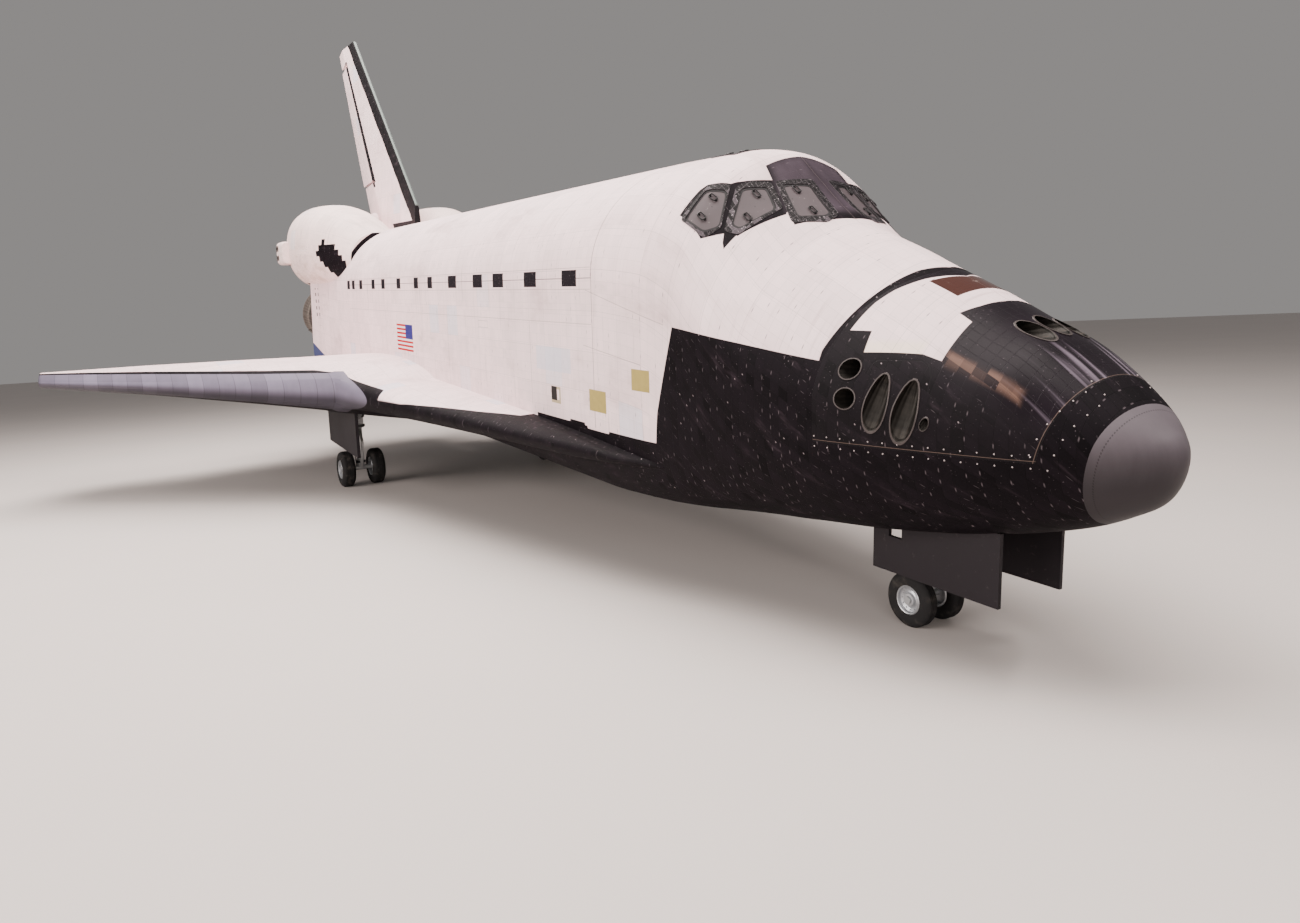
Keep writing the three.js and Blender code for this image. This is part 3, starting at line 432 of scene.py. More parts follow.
def lit(colour):
    """Three display values as a linear colour, and any other colour as it is."""
    return linear(*colour) if isinstance(colour, tuple) and len(colour) == 3 else colour


class Field:
    """One value in a material's node tree, usable in arithmetic."""

    def __init__(self, paint, socket):
        self.paint = paint
        self.socket = socket


def arithmetic(operation, swapped):
    """A Field's operator as a math node, with its two sides swapped or not."""
    def work(self, other):
        return self.paint.math(operation, *((other, self) if swapped else (self, other)))
    return work


for sign, operation in (("add", "ADD"), ("sub", "SUBTRACT"), ("mul", "MULTIPLY"), ("truediv", "DIVIDE")):
    setattr(Field, f"__{sign}__", arithmetic(operation, False))
    setattr(Field, f"__r{sign}__", arithmetic(operation, True))


class Paint:
    """One procedural material. Lengths are metres in the craft's own directions.

    x and y are the two directions its tiles run in: along and around a skin's own
    map, or any two of station, out and height.
    """

    def __init__(self, name, x="flow", y="girth"):
        self.material = bpy.data.materials.new(name)
        self.material.use_nodes = True
        self.tree = self.material.node_tree
        self.tree.nodes.clear()
        place = self.node("ShaderNodeTexCoord").outputs["Object"]
        moved = self.node("ShaderNodeVectorMath", operation="SUBTRACT")
        self.feed(moved.inputs[0], place)
        self.feed(moved.inputs[1], tuple(NOSE_ORIGIN))
        self.station = self.along(moved, (-PITCH_COS, 0, PITCH_SIN))
        self.height = self.along(moved, (PITCH_SIN, 0, PITCH_COS))
        self.out = self.along(moved, (0, 1, 0))
        flat = self.node("ShaderNodeUVMap", uv_map="Skin").outputs["UV"]
        split = self.node("ShaderNodeSeparateXYZ")
        self.feed(split.inputs[0], flat)
        self.flow = Field(self, split.outputs[0])
        self.girth = Field(self, split.outputs[1])
        self.x, self.y = getattr(self, x), getattr(self, y)
        self.place = self.point(self.station, self.out, self.height)
        self.shader = self.node("ShaderNodeBsdfPrincipled")
        self.feed(self.node("ShaderNodeOutputMaterial").inputs["Surface"], self.shader.outputs[0])

    def node(self, kind, **settings):
        made = self.tree.nodes.new(kind)
        for name, value in settings.items():
            setattr(made, name, value)
        return made

    def feed(self, socket, value):
        if isinstance(value, Field):
            value = value.socket
        if isinstance(value, bpy.types.NodeSocket):
            self.tree.links.new(value, socket)
        else:
            socket.default_value = value

    def along(self, vector_node, way):
        dot = self.node("ShaderNodeVectorMath", operation="DOT_PRODUCT")
        self.feed(dot.inputs[0], vector_node.outputs["Vector"])
        self.feed(dot.inputs[1], way)
        return Field(self, dot.outputs["Value"])

    def math(self, operation, *values, clamp=False):
        made = self.node("ShaderNodeMath", operation=operation, use_clamp=clamp)
        for socket, value in zip(made.inputs, values):
            self.feed(socket, value)
        return Field(self, made.outputs[0])

    def floor(self, value):
        return self.math("FLOOR", value)

    def fraction(self, value):
        return self.math("FRACT", value)

    def size(self, value):
        return self.math("ABSOLUTE", value)

    def least(self, *values):
        return functools.reduce(lambda first, second: self.math("MINIMUM", first, second), values)

    def most(self, *values):
        """The largest of the values, which is 1 where any of some masks is 1."""
        return functools.reduce(lambda first, second: self.math("MAXIMUM", first, second), values)

    def rise(self, value, start, end):
        """0 before start and 1 after end, with a smooth slope between them."""
        made = self.node("ShaderNodeMapRange", interpolation_type="SMOOTHSTEP", clamp=True)
        for socket, part in zip(made.inputs, (value, start, end, 0.0, 1.0)):
            self.feed(socket, part)
        return Field(self, made.outputs[0])

    def band(self, value, start, end, soft=0.004):
        """1 between start and end, with soft edges."""
        return (self.rise(value, start - soft, start + soft)
                * (1.0 - self.rise(value, end - soft, end + soft)))

    def inside(self, across, up, corners, soft=0.004):
        """1 inside a convex outline of places, with soft edges."""
        centre = np.mean(corners, axis=0)
        distance = None
        for start, end in zip(corners, corners[1:] + corners[:1]):
            normal = np.array([start[1] - end[1], end[0] - start[0]], float)
            normal /= np.linalg.norm(normal)
            if np.dot(normal, centre - np.asarray(start)) < 0:
                normal = -normal
            offset = float(np.dot(normal, start))
            side = across * float(normal[0]) + up * float(normal[1]) - offset
            distance = side if distance is None else self.least(distance, side)
        return self.rise(distance, -soft, soft)

    def stroke(self, across, up, start, end, half=0.006, soft=0.004):
        """1 along the straight line between two places."""
        run = np.asarray(end, float) - np.asarray(start, float)
        length = float(np.linalg.norm(run))
        way = run / length
        x = across - float(start[0])
        y = up - float(start[1])
        along = x * float(way[0]) + y * float(way[1])
        aside = self.size(y * float(way[0]) - x * float(way[1]))
        return self.band(along, -half, length + half, soft) * (1.0 - self.rise(aside, half, half + soft))

    def point(self, x, y, z=0.0):
        made = self.node("ShaderNodeCombineXYZ")
        for socket, value in zip(made.inputs, (x, y, z)):
            self.feed(socket, value)
        return made.outputs[0]

    def noise(self, place, scale, detail=2.0, rough=0.5):
        """Smooth noise about 0.5 whose lumps are 1 / scale metres across."""
        made = self.node("ShaderNodeTexNoise")
        self.feed(made.inputs["Vector"], place)
        made.inputs["Scale"].default_value = scale
        made.inputs["Detail"].default_value = detail
        made.inputs["Roughness"].default_value = rough
        return Field(self, made.outputs[0])

    def chance(self, x, y, z=0.0):
        """A random value from 0 to 1 for each whole place."""
        made = self.node("ShaderNodeTexWhiteNoise", noise_dimensions="3D")
        self.feed(made.inputs["Vector"], self.point(x, y, z))
        return Field(self, made.outputs["Value"])

    def mix(self, first, second, share):
        """A colour between two colours, each a socket, a linear colour or display values."""
        made = self.node("ShaderNodeMix", data_type="RGBA")
        self.feed(made.inputs[0], share)
        self.feed(made.inputs[6], lit(first))
        self.feed(made.inputs[7], lit(second))
        return made.outputs[2]

    def coats(self, colour, *layers):
        """A colour with others laid over it in turn, each with its mask."""
        for layer, mask in layers:
            colour = self.mix(colour, layer, mask)
        return colour

    def shade(self, colour, factor):
        """A colour made darker or lighter by a factor."""
        made = self.node("ShaderNodeVectorMath", operation="SCALE")
        colour = lit(colour)
        self.feed(made.inputs[0], colour[:3] if isinstance(colour, tuple) else colour)
        self.feed(made.inputs["Scale"], factor)
        return made.outputs[0]

    def tiles(self, across, up, width, depth, gap=0.004):
        """Cells of a grid: a random value for each, and 1 on the joints between them."""
        x, y = across / width, up / depth
        near_x = self.size(self.fraction(x) - 0.5) * 2.0
        near_y = self.size(self.fraction(y) - 0.5) * 2.0
        joint = self.most(self.rise(near_x, 1.0 - 2 * gap / width, 1.0),
                          self.rise(near_y, 1.0 - 2 * gap / depth, 1.0))
        return self.chance(self.floor(x), self.floor(y)), joint

    def ticks(self, across, up, width, depth, share, gap=0.008):
        """Short marks on some of the upright joints of a grid."""
        x, y = across / width, up / depth
        beside = self.rise(self.size(self.fraction(x) - 0.5) * 2.0, 1.0 - 2 * gap / width, 1.0 - gap / width)
        chosen = self.rise(self.chance(self.floor(x + 0.5), self.floor(y), 3.0), 1.0 - share, 1.002 - share)
        return beside * chosen * self.band(self.fraction(y), 0.3, 0.6, 0.1)

    def dots(self, across, up, spacing, radius, share=1.0):
        """A round dot in the middle of some of the cells of a grid."""
        x, y = across / spacing, up / spacing
        away = self.math("POWER", self.fraction(x) - 0.5, 2.0) + self.math(
            "POWER", self.fraction(y) - 0.5, 2.0)
        limit = (radius / spacing) ** 2
        round_mark = 1.0 - self.rise(away, limit * 0.7, limit * 1.3)
        if share >= 1.0:
            return round_mark
        chosen = self.rise(self.chance(self.floor(x), self.floor(y), 7.0), 1.0 - share, 1.002 - share)
        return round_mark * chosen

    def finish(self, colour, rough, bump=None, depth=0.001, metal=0.0, gloss=0.18):
        """Sets the surface: colour, roughness, and relief of a depth in metres."""
        self.feed(self.shader.inputs["Base Color"], colour)
        self.feed(self.shader.inputs["Roughness"], rough)
        self.feed(self.shader.inputs["Metallic"], metal)
        self.shader.inputs["Specular IOR Level"].default_value = 0.5 if metal else gloss
        if bump is not None:
            relief = self.node("ShaderNodeBump")
            relief.inputs["Strength"].default_value = 1.0
            relief.inputs["Distance"].default_value = depth
            self.feed(relief.inputs["Height"], bump)
            self.feed(self.shader.inputs["Normal"], relief.outputs[0])
        return self.material


class OrbiterSkin(bpy.types.PropertyGroup):
    """Colours and tile sizes of the craft's skin."""
    white: bpy.props.FloatVectorProperty(
        name="White skin", description="Colour of the white tiles and blankets", size=4,
        subtype="COLOR", min=0.0, max=1.0, default=linear(232, 208, 210))
    black: bpy.props.FloatVectorProperty(
        name="Black skin", description="Colour of the black tiles", size=4,
        subtype="COLOR", min=0.0, max=1.0, default=linear(13, 9, 13))
    carbon: bpy.props.FloatVectorProperty(
        name="Carbon", description="Colour of the nose cap and the wings' front panels", size=4,
        subtype="COLOR", min=0.0, max=1.0, default=linear(78, 72, 77))
    tile: bpy.props.FloatProperty(
        name="Tile", description="Width of a black tile", unit="LENGTH", min=0.05, default=0.15)
    blanket: bpy.props.FloatProperty(
        name="Blanket", description="Width of a white blanket", unit="LENGTH", min=0.2, default=0.72)


class OrbiterForms(bpy.types.PropertyGroup):
    """Sizes of the craft's finer forms."""
    mesh_step: bpy.props.FloatProperty(
        name="Skin step", description="Spacing of the body skin's sections", unit="LENGTH",
        min=0.02, default=0.055)
    port_rim: bpy.props.FloatProperty(
        name="Thruster rim", description="How far a thruster's rim stands proud of the skin",
        unit="LENGTH", min=0.002, default=0.009)
    frame_proud: bpy.props.FloatProperty(
        name="Window frame", description="How far a window's frame stands proud of the skin",
        unit="LENGTH", min=0.002, default=0.012)
    handle: bpy.props.FloatProperty(
        name="Cover handle", description="Length of a handle on a window cover", unit="LENGTH",
        min=0.05, default=0.15)
    fastener: bpy.props.FloatProperty(
        name="Fastener", description="Radius of a pale fastener along the module's seams",
        unit="LENGTH", min=0.004, default=0.010)
    fastener_gap: bpy.props.FloatProperty(
        name="Fastener spacing", description="Distance between fasteners along a seam",
        unit="LENGTH", min=0.05, default=0.19)
    bay_frames: bpy.props.IntProperty(
        name="Bay frames", description="Number of frames round the cargo bay", min=2, default=14)


GROUPS = {"orbiter_skin": OrbiterSkin, "orbiter_forms": OrbiterForms}


def skin():
    """The skin's settings."""
    return bpy.context.scene.orbiter_skin


def forms():
    """The finer forms' settings."""
    return bpy.context.scene.orbiter_forms


# Skin recipes. Each returns a colour, a roughness and a relief of 0 to 1.

SKIN_GLOSS = 0.06


def white_skin(paint, warm=0.0):
    """White tiles and blankets: soft mottling, faint joints, patches and short grey ticks."""
    settings = skin()
    x, y = paint.x, paint.y
    patch, joint = paint.tiles(x, y, settings.blanket, settings.blanket, 0.005)
    tile, seam = paint.tiles(x, y, 0.2, 0.2, 0.003)
    ticks = paint.ticks(x, y, 0.2, 0.2, 0.13)
    streak = paint.noise(paint.point(x * 5.0, y * 0.7, 0.0), 1.0, 4.0)
    cloud = paint.noise(paint.place, 0.55, 4.0)
    weave = paint.noise(paint.place, 60.0, 1.0)
    cold = paint.rise(patch, 0.93, 0.95)
    tone = 0.74 + patch * 0.1 + tile * 0.07 + streak * 0.15 + cloud * 0.16 + weave * 0.03
    colour = paint.mix(tuple(settings.white), (206, 200, 210), cold * 0.8)
    if warm:
        colour = paint.mix(colour, (232, 214, 198), warm)
    colour = paint.shade(colour, tone * (1.0 - joint * 0.4) * (1.0 - seam * 0.34))
    grime = paint.rise(paint.noise(paint.point(x * 0.35, y * 0.8, 9.0), 1.0, 5.0, 0.68), 0.5, 0.85)
    runs = paint.rise(paint.noise(paint.point(x * 9.0, y * 0.6, 2.0), 1.0, 3.0), 0.58, 0.8)
    colour = paint.coats(colour, ((168, 146, 146), paint.most(grime * 0.75, runs * 0.5)),
                         ((104, 86, 90), ticks * 0.8))
    relief = 1.0 - paint.most(joint * 0.7, seam * 0.4) + weave * 0.05
    return colour, 0.66, relief


def black_skin(paint, gloss=0.0):
    """Black tiles: squares of slightly different tone, pale ticks, dots and smudges."""
    settings = skin()
    x, y = paint.x, paint.y
    tile, seam = paint.tiles(x, y, settings.tile, settings.tile, 0.004)
    fresh = paint.rise(tile, 0.955, 0.965)
    ticks = paint.ticks(x, y, settings.tile, settings.tile, 0.3, 0.008)
    level = paint.ticks(y, x, settings.tile, settings.tile, 0.12, 0.006)
    marks = paint.dots(x, y, settings.tile, 0.010, 0.03)
    speck = paint.rise(paint.noise(paint.place, 38.0, 2.0), 0.69, 0.75)
    smudge = paint.noise(paint.point(x * 0.8, y * 2.2, 0.0), 1.6, 5.0, 0.62)
    haze = paint.rise(smudge, 0.56, 0.80)
    tone = (0.5 + tile * 0.8 + smudge * 0.5) * (1.0 - fresh * 0.62)
    colour = paint.coats(
        paint.shade(tuple(settings.black), tone), ((72, 60, 68), haze * 0.4),
        ((134, 122, 128), paint.most(ticks * 0.36, level * 0.26, speck * 0.22)),
        ((150, 138, 142), marks * 0.7))
    colour = paint.shade(colour, 1.0 - seam * 0.45)
    rough = 0.6 - gloss * 0.2 + haze * 0.12 + tile * 0.06
    return colour, rough, 1.0 - seam


def over(paint, first, second, mask):
    """The second recipe's result where mask is 1 and the first one's elsewhere."""
    return (paint.mix(first[0], second[0], mask), first[1] + (second[1] - first[1]) * mask,
            first[2] * (1.0 - mask) + second[2] * mask)


def blended(paint, first, second, mask):
    """Finishes a paint with the second recipe where mask is 1 and the first elsewhere."""
    return paint.finish(*over(paint, first, second, mask), 0.0016, gloss=SKIN_GLOSS)


# Corners of painted areas on the body, in metres: station with height or with girth
# from the crown.
SIDE_BLACK = [(-1.0, 2.04), (3.704, 2.691), (6.576, 3.089), (6.683, 2.388), (6.935, 1.211),
              (7.3, 0.0), (-1.0, 0.0)]
FOREHEAD = [(6.401, 0.0), (6.374, 0.766), (5.408, 1.027), (5.202, 0.378), (5.14, 0.0)]
MODULE_BAND = [(3.41, 0.0), (3.47, 0.45), (3.596, 0.908), (3.712, 1.418), (3.768, 1.805),
               (3.743, 2.215), (3.67, 2.8), (2.5, 2.8), (2.5, 0.0)]
WINDOW_BORDERS = [
    [(6.79, 2.456), (6.268, 2.49), (6.118, 2.235), (6.095, 2.061), (6.423, 1.487), (6.73, 1.753),
     (6.772, 1.907)],
    [(6.129, 2.057), (5.99, 2.04), (5.851, 1.922), (5.613, 1.018), (5.68, 0.89), (6.13, 0.8),
     (6.381, 1.373)],
    [(6.43, 1.487), (6.38, 1.36), (6.0, 2.04), (6.118, 2.229)],
    [(5.9, 2.25), (5.965, 2.2), (6.1, 1.98), (5.87, 1.92)]]
AFT_BLUE = [(29.9, 0.75), (33.0, 1.7), (33.0, 0.0), (29.4, 0.0)]
# Seams that show on the white sides, as start and end in station and height.
SIDE_SEAMS = [((9.008, 3.628), (7.327, 3.259)), ((7.327, 3.259), (6.583, 3.088)),
              ((9.159, 2.656), (7.219, 2.432)), ((8.83, 3.03), (27.0, 3.03)),
              ((11.5, 1.35), (11.5, 3.02)), ((8.83, 4.02), (27.1, 4.02)), ((8.83, 3.64), (27.1, 3.64)),
              ((16.6, 1.2), (16.6, 3.02)), ((22.4, 1.6), (22.4, 3.02))]
SQUARE_OUTLINES = [(14.41, 13.8, 2.96, 2.8), (30.9, 30.4, 3.5, 3.1), (31.6, 31.2, 2.6, 2.3)]
DOOR_HINGES = [9.645, 11.39, 13.09, 14.33, 16.07, 17.83, 19.05, 20.76, 22.45, 23.64, 25.25, 26.3, 27.0]
VENT = (10.33, 10.58, 1.53, 1.8)
# Two plates and the vent, each with its colour.
PATCHES = [((6.971, 7.49, 2.0, 2.352), (158, 142, 84)), ((8.36, 8.98, 1.5, 1.884), (158, 142, 84)),
           (VENT, (44, 40, 40))]
FLAG = (19.65, 21.24, 1.92, 2.68)


def rectangle(paint, front, aft, low, high, soft=0.004):
    """1 inside a rectangle of station and height."""
    return paint.band(paint.station, front, aft, soft) * paint.band(paint.height, low, high, soft)


def body_black(paint):
    """Black areas of the body: nose, lower sides, window surround and belly."""
    station, height, girth = paint.station, paint.height, paint.girth
    glove = 1.0 - paint.rise(station, 11.29, 11.3)
    notch = paint.band(station, 9.2, 9.8, 0.01) - paint.band(station, 8.3, 9.1, 0.01)
    belly = 1.0 - paint.rise(height - glove * (notch * 0.045 + 0.4), 0.796, 0.804)
    side = paint.inside(station, height, SIDE_BLACK)
    nose = 1.0 - paint.rise(station, 1.2, 1.21)
    areas = [paint.inside(station, girth, corners) for corners in (FOREHEAD, MODULE_BAND, *WINDOW_BORDERS)]
    return paint.most(side, nose, belly, *areas)


def body_paint(name):
    """The body's skin: white with black areas, seams, hinge squares, flag and plates, and a painted
    highlight on the black forehead over the windows.
    """
    paint = Paint(name)
    station, height = paint.station, paint.height
    white = white_skin(paint)
    dark_colour, dark_rough, dark_relief = black_skin(paint)
    dark = body_black(paint)
    # Painted highlight: the black forehead over the windows is made lighter in streaks, standing in for a
    # reflection of the lamps.
    brow_highlight_area = paint.inside(station, paint.girth, [(6.4, 0.0), (6.37, 0.7), (5.5, 1.0), (5.3, 0.0)], 0.12)
    brow_highlight_streaks = paint.noise(paint.point(station * 1.2, paint.girth * 2.0, 5.0), 1.6, 4.0)
    dark_colour = paint.mix(dark_colour, (80, 70, 79), brow_highlight_area * (0.12 + brow_highlight_streaks * 0.75))
    colour, rough, relief = over(paint, white, (dark_colour, dark_rough, dark_relief), dark)
    on_side = paint.rise(paint.size(paint.out), 2.0, 2.05)
    seams = paint.most(*(paint.stroke(station, height, start, end, 0.004, 0.004)
                         for start, end in SIDE_SEAMS))
    boxes = paint.most(*(rectangle(paint, front, aft, low, high) * (1.0 - rectangle(
        paint, front + 0.012, aft - 0.012, low + 0.012, high - 0.012))
        for aft, front, high, low in SQUARE_OUTLINES))
    door_line = paint.band(height, 3.829, 3.841, 0.003) * paint.band(station, 8.78, 27.2)
    row = paint.most(*(paint.band(station, place - half, place + half) for place, half in zip(
        DOOR_HINGES, [0.3] * 5 + [0.2] * 8)))
    squares = row * paint.band(height, 3.69, 3.985) * (1.0 - paint.band(station, 0.0, 8.8))
    grain = paint.noise(paint.place, 24.0, 3.0)
    square_colour = paint.shade((24, 20, 25), 0.5 + grain)
    square_colour = paint.mix(square_colour, (110, 102, 102), paint.rise(grain, 0.6, 0.7) * 0.4)
    front_seam = paint.band(station, 8.775, 8.795) * paint.rise(height, 1.2, 1.21)
    colour = paint.coats(
        colour, ((138, 120, 120), paint.most(seams, boxes) * on_side * (1.0 - dark) * 0.6),
        (square_colour, squares), ((70, 58, 60), door_line * (1.0 - squares)),
        ((120, 98, 98), front_seam * 0.7),
        ((198, 198, 212), rectangle(paint, 9.69, 11.22, 2.09, 2.55) * on_side * 0.6))
    stripe = paint.fraction((height - FLAG[2]) / ((FLAG[3] - FLAG[2]) / 6.5))
    canton = paint.band(station, FLAG[0] - 0.01, 20.35) * paint.band(height, 2.27, 2.7)
    flag_colour = paint.coats((222, 214, 218), ((172, 16, 28), 1.0 - paint.rise(stripe, 0.47, 0.53)),
                              ((48, 46, 112), canton))
    worn = 0.8 + paint.noise(paint.place, 9.0, 3.0) * 0.3
    rim = rectangle(paint, VENT[0] - 0.16, VENT[1], VENT[2] - 0.05, VENT[3]) * (1.0 - rectangle(
        paint, VENT[0] - 0.1, VENT[1], VENT[2] + 0.02, VENT[3] - 0.05))
    blue = paint.inside(station, height, AFT_BLUE) * (1.0 - paint.rise(height, 1.8, 1.81))
    marks = paint.band(station, 31.35, 32.0) * paint.band(height, 2.62, 3.75) * on_side
    rows = (1.0 - paint.band(paint.fraction(station / 0.36), 0.32, 1.1, 0.02)) * paint.band(
        paint.fraction(height / 0.26), 0.25, 0.75, 0.05)
    colour = paint.coats(
        colour, (paint.shade(flag_colour, worn), rectangle(paint, *FLAG) * on_side),
        *((paint.shade(tone, worn), rectangle(paint, *area) * on_side) for area, tone in PATCHES),
        ((150, 138, 92), rim * on_side * 0.8 * (1.0 - rectangle(paint, *VENT))),
        (paint.shade((70, 76, 112), worn), blue * on_side), ((62, 50, 54), marks * rows))
    relief = relief - paint.most(door_line, seams * on_side) * 0.8
    return paint.finish(colour, rough, relief, 0.0018, gloss=SKIN_GLOSS)


# The module's white top and sides, as convex areas of station and girth.
MODULE_WHITE = [
    [(3.06, 0.0), (3.278, 0.569), (3.415, 1.021), (3.481, 1.368), (3.501, 1.641), (3.516, 1.9),
     (3.254, 1.738), (2.529, 0.795), (2.452, 0.489), (2.387, 0.084), (2.387, 0.0)],
    [(3.254, 1.738), (3.194, 2.041), (2.527, 1.598), (2.529, 0.795), (3.254, 0.795)],
    [(2.527, 1.598), (2.291, 1.523), (2.303, 1.175), (2.327, 0.807), (2.529, 0.795)]]
MODULE_PANEL = [(2.752, 0.55), (3.212, 0.565), (3.091, 0.134), (3.05, 0.0), (2.7, 0.0)]
MODULE_GROOVE = [(3.044, 2.25), (3.03, 2.1), (2.982, 2.013), (2.494, 1.675), (2.39, 1.68),
                 (2.32, 1.76), (2.284, 1.95)]


def module_paint(name):
    """The thruster module: black, glossy on top with painted highlights, with white areas and a brown shiny
    panel with painted reflections.
    """
    paint = Paint(name)
    x, y, station, height = paint.x, paint.y, paint.station, paint.height
    top = 1.0 - paint.rise(y, 1.25, 1.95)
    colour, rough, relief = black_skin(paint, 0.0)
    sweep = paint.noise(paint.point(x * 1.4, y * 0.35, 3.0), 2.2, 4.0)
    flecks = paint.rise(paint.noise(paint.place, 30.0, 1.0), 0.72, 0.76)
    # Painted highlight: pale fan-shaped streaks near the front of the glossy top.
    fan_highlight = paint.rise(paint.noise(paint.point(y * 9.0, x * 0.5, 1.0), 1.0, 2.0), 0.52, 0.78)
    fan_highlight = fan_highlight * (1.0 - paint.rise(x, 1.1, 1.75))
    brown = paint.tiles(x, y, 0.16, 0.12, 0.004)[0] * paint.inside(
        x, y, [(2.3, 1.36), (2.25, 1.55), (1.35, 1.36), (1.35, 1.2)], 0.06)
    glossy = paint.coats(paint.shade((20, 14, 20), 0.5 + sweep * 0.9), ((120, 108, 116), flecks * 0.3),
                         ((150, 136, 152), fan_highlight * 0.45), ((120, 92, 80), brown * 0.7))
    colour = paint.mix(colour, glossy, top)
    rough = rough + (0.38 - rough) * top
    warm = paint.rise(height, 2.72, 2.74) * (1.0 - paint.rise(height, 2.9, 3.0)) * paint.rise(x, 2.5, 2.6)
    white = paint.most(*(paint.inside(x, y, corners) for corners in MODULE_WHITE))
    colour, rough, relief = over(paint, (colour, rough, relief), white_skin(paint, warm * 0.8), white)
    panel = paint.inside(x, y, MODULE_PANEL)
    # Painted reflection: bright patches on the dark brown panel.
    panel_reflection = paint.noise(paint.point(x * 3.0, y * 3.0, 0.0), 1.3, 3.0)
    panel_colour = paint.mix((60, 38, 34), (190, 172, 164), paint.rise(panel_reflection, 0.6, 0.76))
    colour = paint.mix(colour, panel_colour, panel)
    rough = rough + (0.16 - rough) * panel
    lines = [paint.stroke(x, y, start, end, 0.006) for start, end in zip(MODULE_GROOVE, MODULE_GROOVE[1:])]
    lines.append(paint.band(height, 1.655, 1.672, 0.003))
    ahead = station + height * MODULE_LEAN - (MODULE_FOOT / METRE + 0.012)
    lines.append(1.0 - paint.rise(ahead, 0.0, 0.006))
    lines = paint.most(*lines)
    edge = paint.band(height, 1.673, 1.679, 0.003) + paint.band(ahead, 0.006, 0.012, 0.004)
    colour = paint.coats(colour, ((16, 13, 16), lines), ((128, 108, 98), paint.least(edge, 1.0) * 0.5))
    return paint.finish(colour, rough, relief - lines * 0.9, 0.0016, gloss=0.09)


def carbon_paint(name, panel=0.0, tint=None):
    """Grey carbon: slow mottling, and, where asked, a tone for each panel. On the nose cap, a painted
    highlight on top and painted shade low down, split by a streaky edge; on the panels, painted shade on
    their lower half.
    """
    paint = Paint(name)
    cloud = paint.noise(paint.place, 1.7, 5.0, 0.6)
    streak = paint.noise(paint.point(paint.station * 0.6, paint.out * 3.0, paint.height * 0.5), 2.0, 4.0)
    fine = paint.noise(paint.place, 55.0, 2.0)
    colour = tint or tuple(skin().carbon)
    tone = 0.66 + cloud * 0.35 + streak * 0.22 + fine * 0.08
    relief = fine * 0.15 + cloud * 0.2
    if panel:
        place = paint.size(paint.out) / panel
        tone = tone * (0.8 + paint.chance(paint.floor(place), 2.0) * 0.38)
        beside = paint.size(paint.fraction(place) - 0.5) * 2.0
        joint = paint.rise(beside, 1.0 - 0.02 / panel, 1.0 - 0.006 / panel)
        # Painted shade: the panels' lower half, which faces down, is darker.
        under = 1.0 - paint.rise(paint.height - paint.size(paint.out) * 0.0327 - 0.73, -0.2, 0.1)
        tip = paint.rise(paint.size(paint.out), 11.85, 11.87)
        tone = tone * (1.0 - joint * 0.45) * (1.0 - paint.most(under * 0.72, tip * 0.6))
        relief = relief - joint
    else:
        # Painted light: the cap is lighter on top and darker low down, with a streaky edge between.
        low = 1.0 - paint.rise(paint.height - streak * 0.3, 1.2, 2.05)
        tone = tone * (1.3 - low * 1.02)
        ahead = paint.station + paint.height * CAP_LEAN - CAP_FOOT / METRE
        rim = paint.band(ahead, -0.085, -0.073, 0.003)
        spots_on_rim = rim * paint.band(paint.fraction(paint.girth / 0.045), 0.2, 0.8, 0.08)
        tone = tone * (1.0 - spots_on_rim * 0.5)
    return paint.finish(paint.shade(colour, tone), 0.5 + cloud * 0.12, relief, 0.001)


def plain_paint(name, colour, rough, grain=30.0, metal=0.0, depth=0.0006, wear=0.16):
    """One colour with fine grain and slow changes of tone."""
    paint = Paint(name)
    fine = paint.noise(paint.place, grain, 3.0)
    slow = paint.noise(paint.place, 1.3, 3.0)
    scuff = paint.rise(paint.noise(paint.place, grain * 0.35, 4.0, 0.7), 0.6, 0.75)
    tone = paint.shade(colour, 0.86 + fine * 0.12 + slow * wear)
    tone = paint.mix(tone, (150, 140, 136), scuff * wear * 0.6)
    return paint.finish(tone, rough + slow * 0.1 - 0.05, fine - scuff * 0.4, depth, metal)


def bell_paint(name, dark, light, tubes):
    """A nozzle: fine upright tubes, heat tints in bands and soot towards its mouth."""
    paint = Paint(name)
    along, around = paint.flow, paint.girth
    ribs = paint.math("SINE", around * (2 * math.pi * tubes))
    bands = paint.noise(paint.point(along * 3.0, 0.0, 0.0), 1.0, 3.0)
    soot = paint.noise(paint.point(along * 1.5, around * 12.0, 0.0), 1.0, 4.0)
    colour = paint.mix(dark, light, paint.rise(bands, 0.35, 0.7))
    colour = paint.mix(colour, (120, 84, 66), paint.rise(soot, 0.58, 0.8) * 0.5)
    colour = paint.shade(colour, 0.8 + ribs * 0.12 + soot * 0.25)
    return paint.finish(colour, 0.42 + soot * 0.2, ribs * 0.5 + 0.5, 0.004, 0.75)


def frame_paint(name):
    """Window frames: black with pale specks and strips where the coating has worn."""
    paint = Paint(name)
    speck = paint.rise(paint.noise(paint.place, 34.0, 3.0, 0.7), 0.61, 0.66)
    block_tone, seam = paint.tiles(paint.x, paint.y, 0.11, 0.075, 0.005)
    pale = paint.rise(block_tone, 0.8, 0.82)
    colour = paint.mix((9, 6, 9), (84, 76, 82), pale * 0.6)
    colour = paint.mix(colour, (190, 180, 186), paint.most(speck * 0.55, seam * 0.12))
    return paint.finish(colour, 0.5 + speck * 0.2, speck - seam * 0.6, 0.001, gloss=0.1)


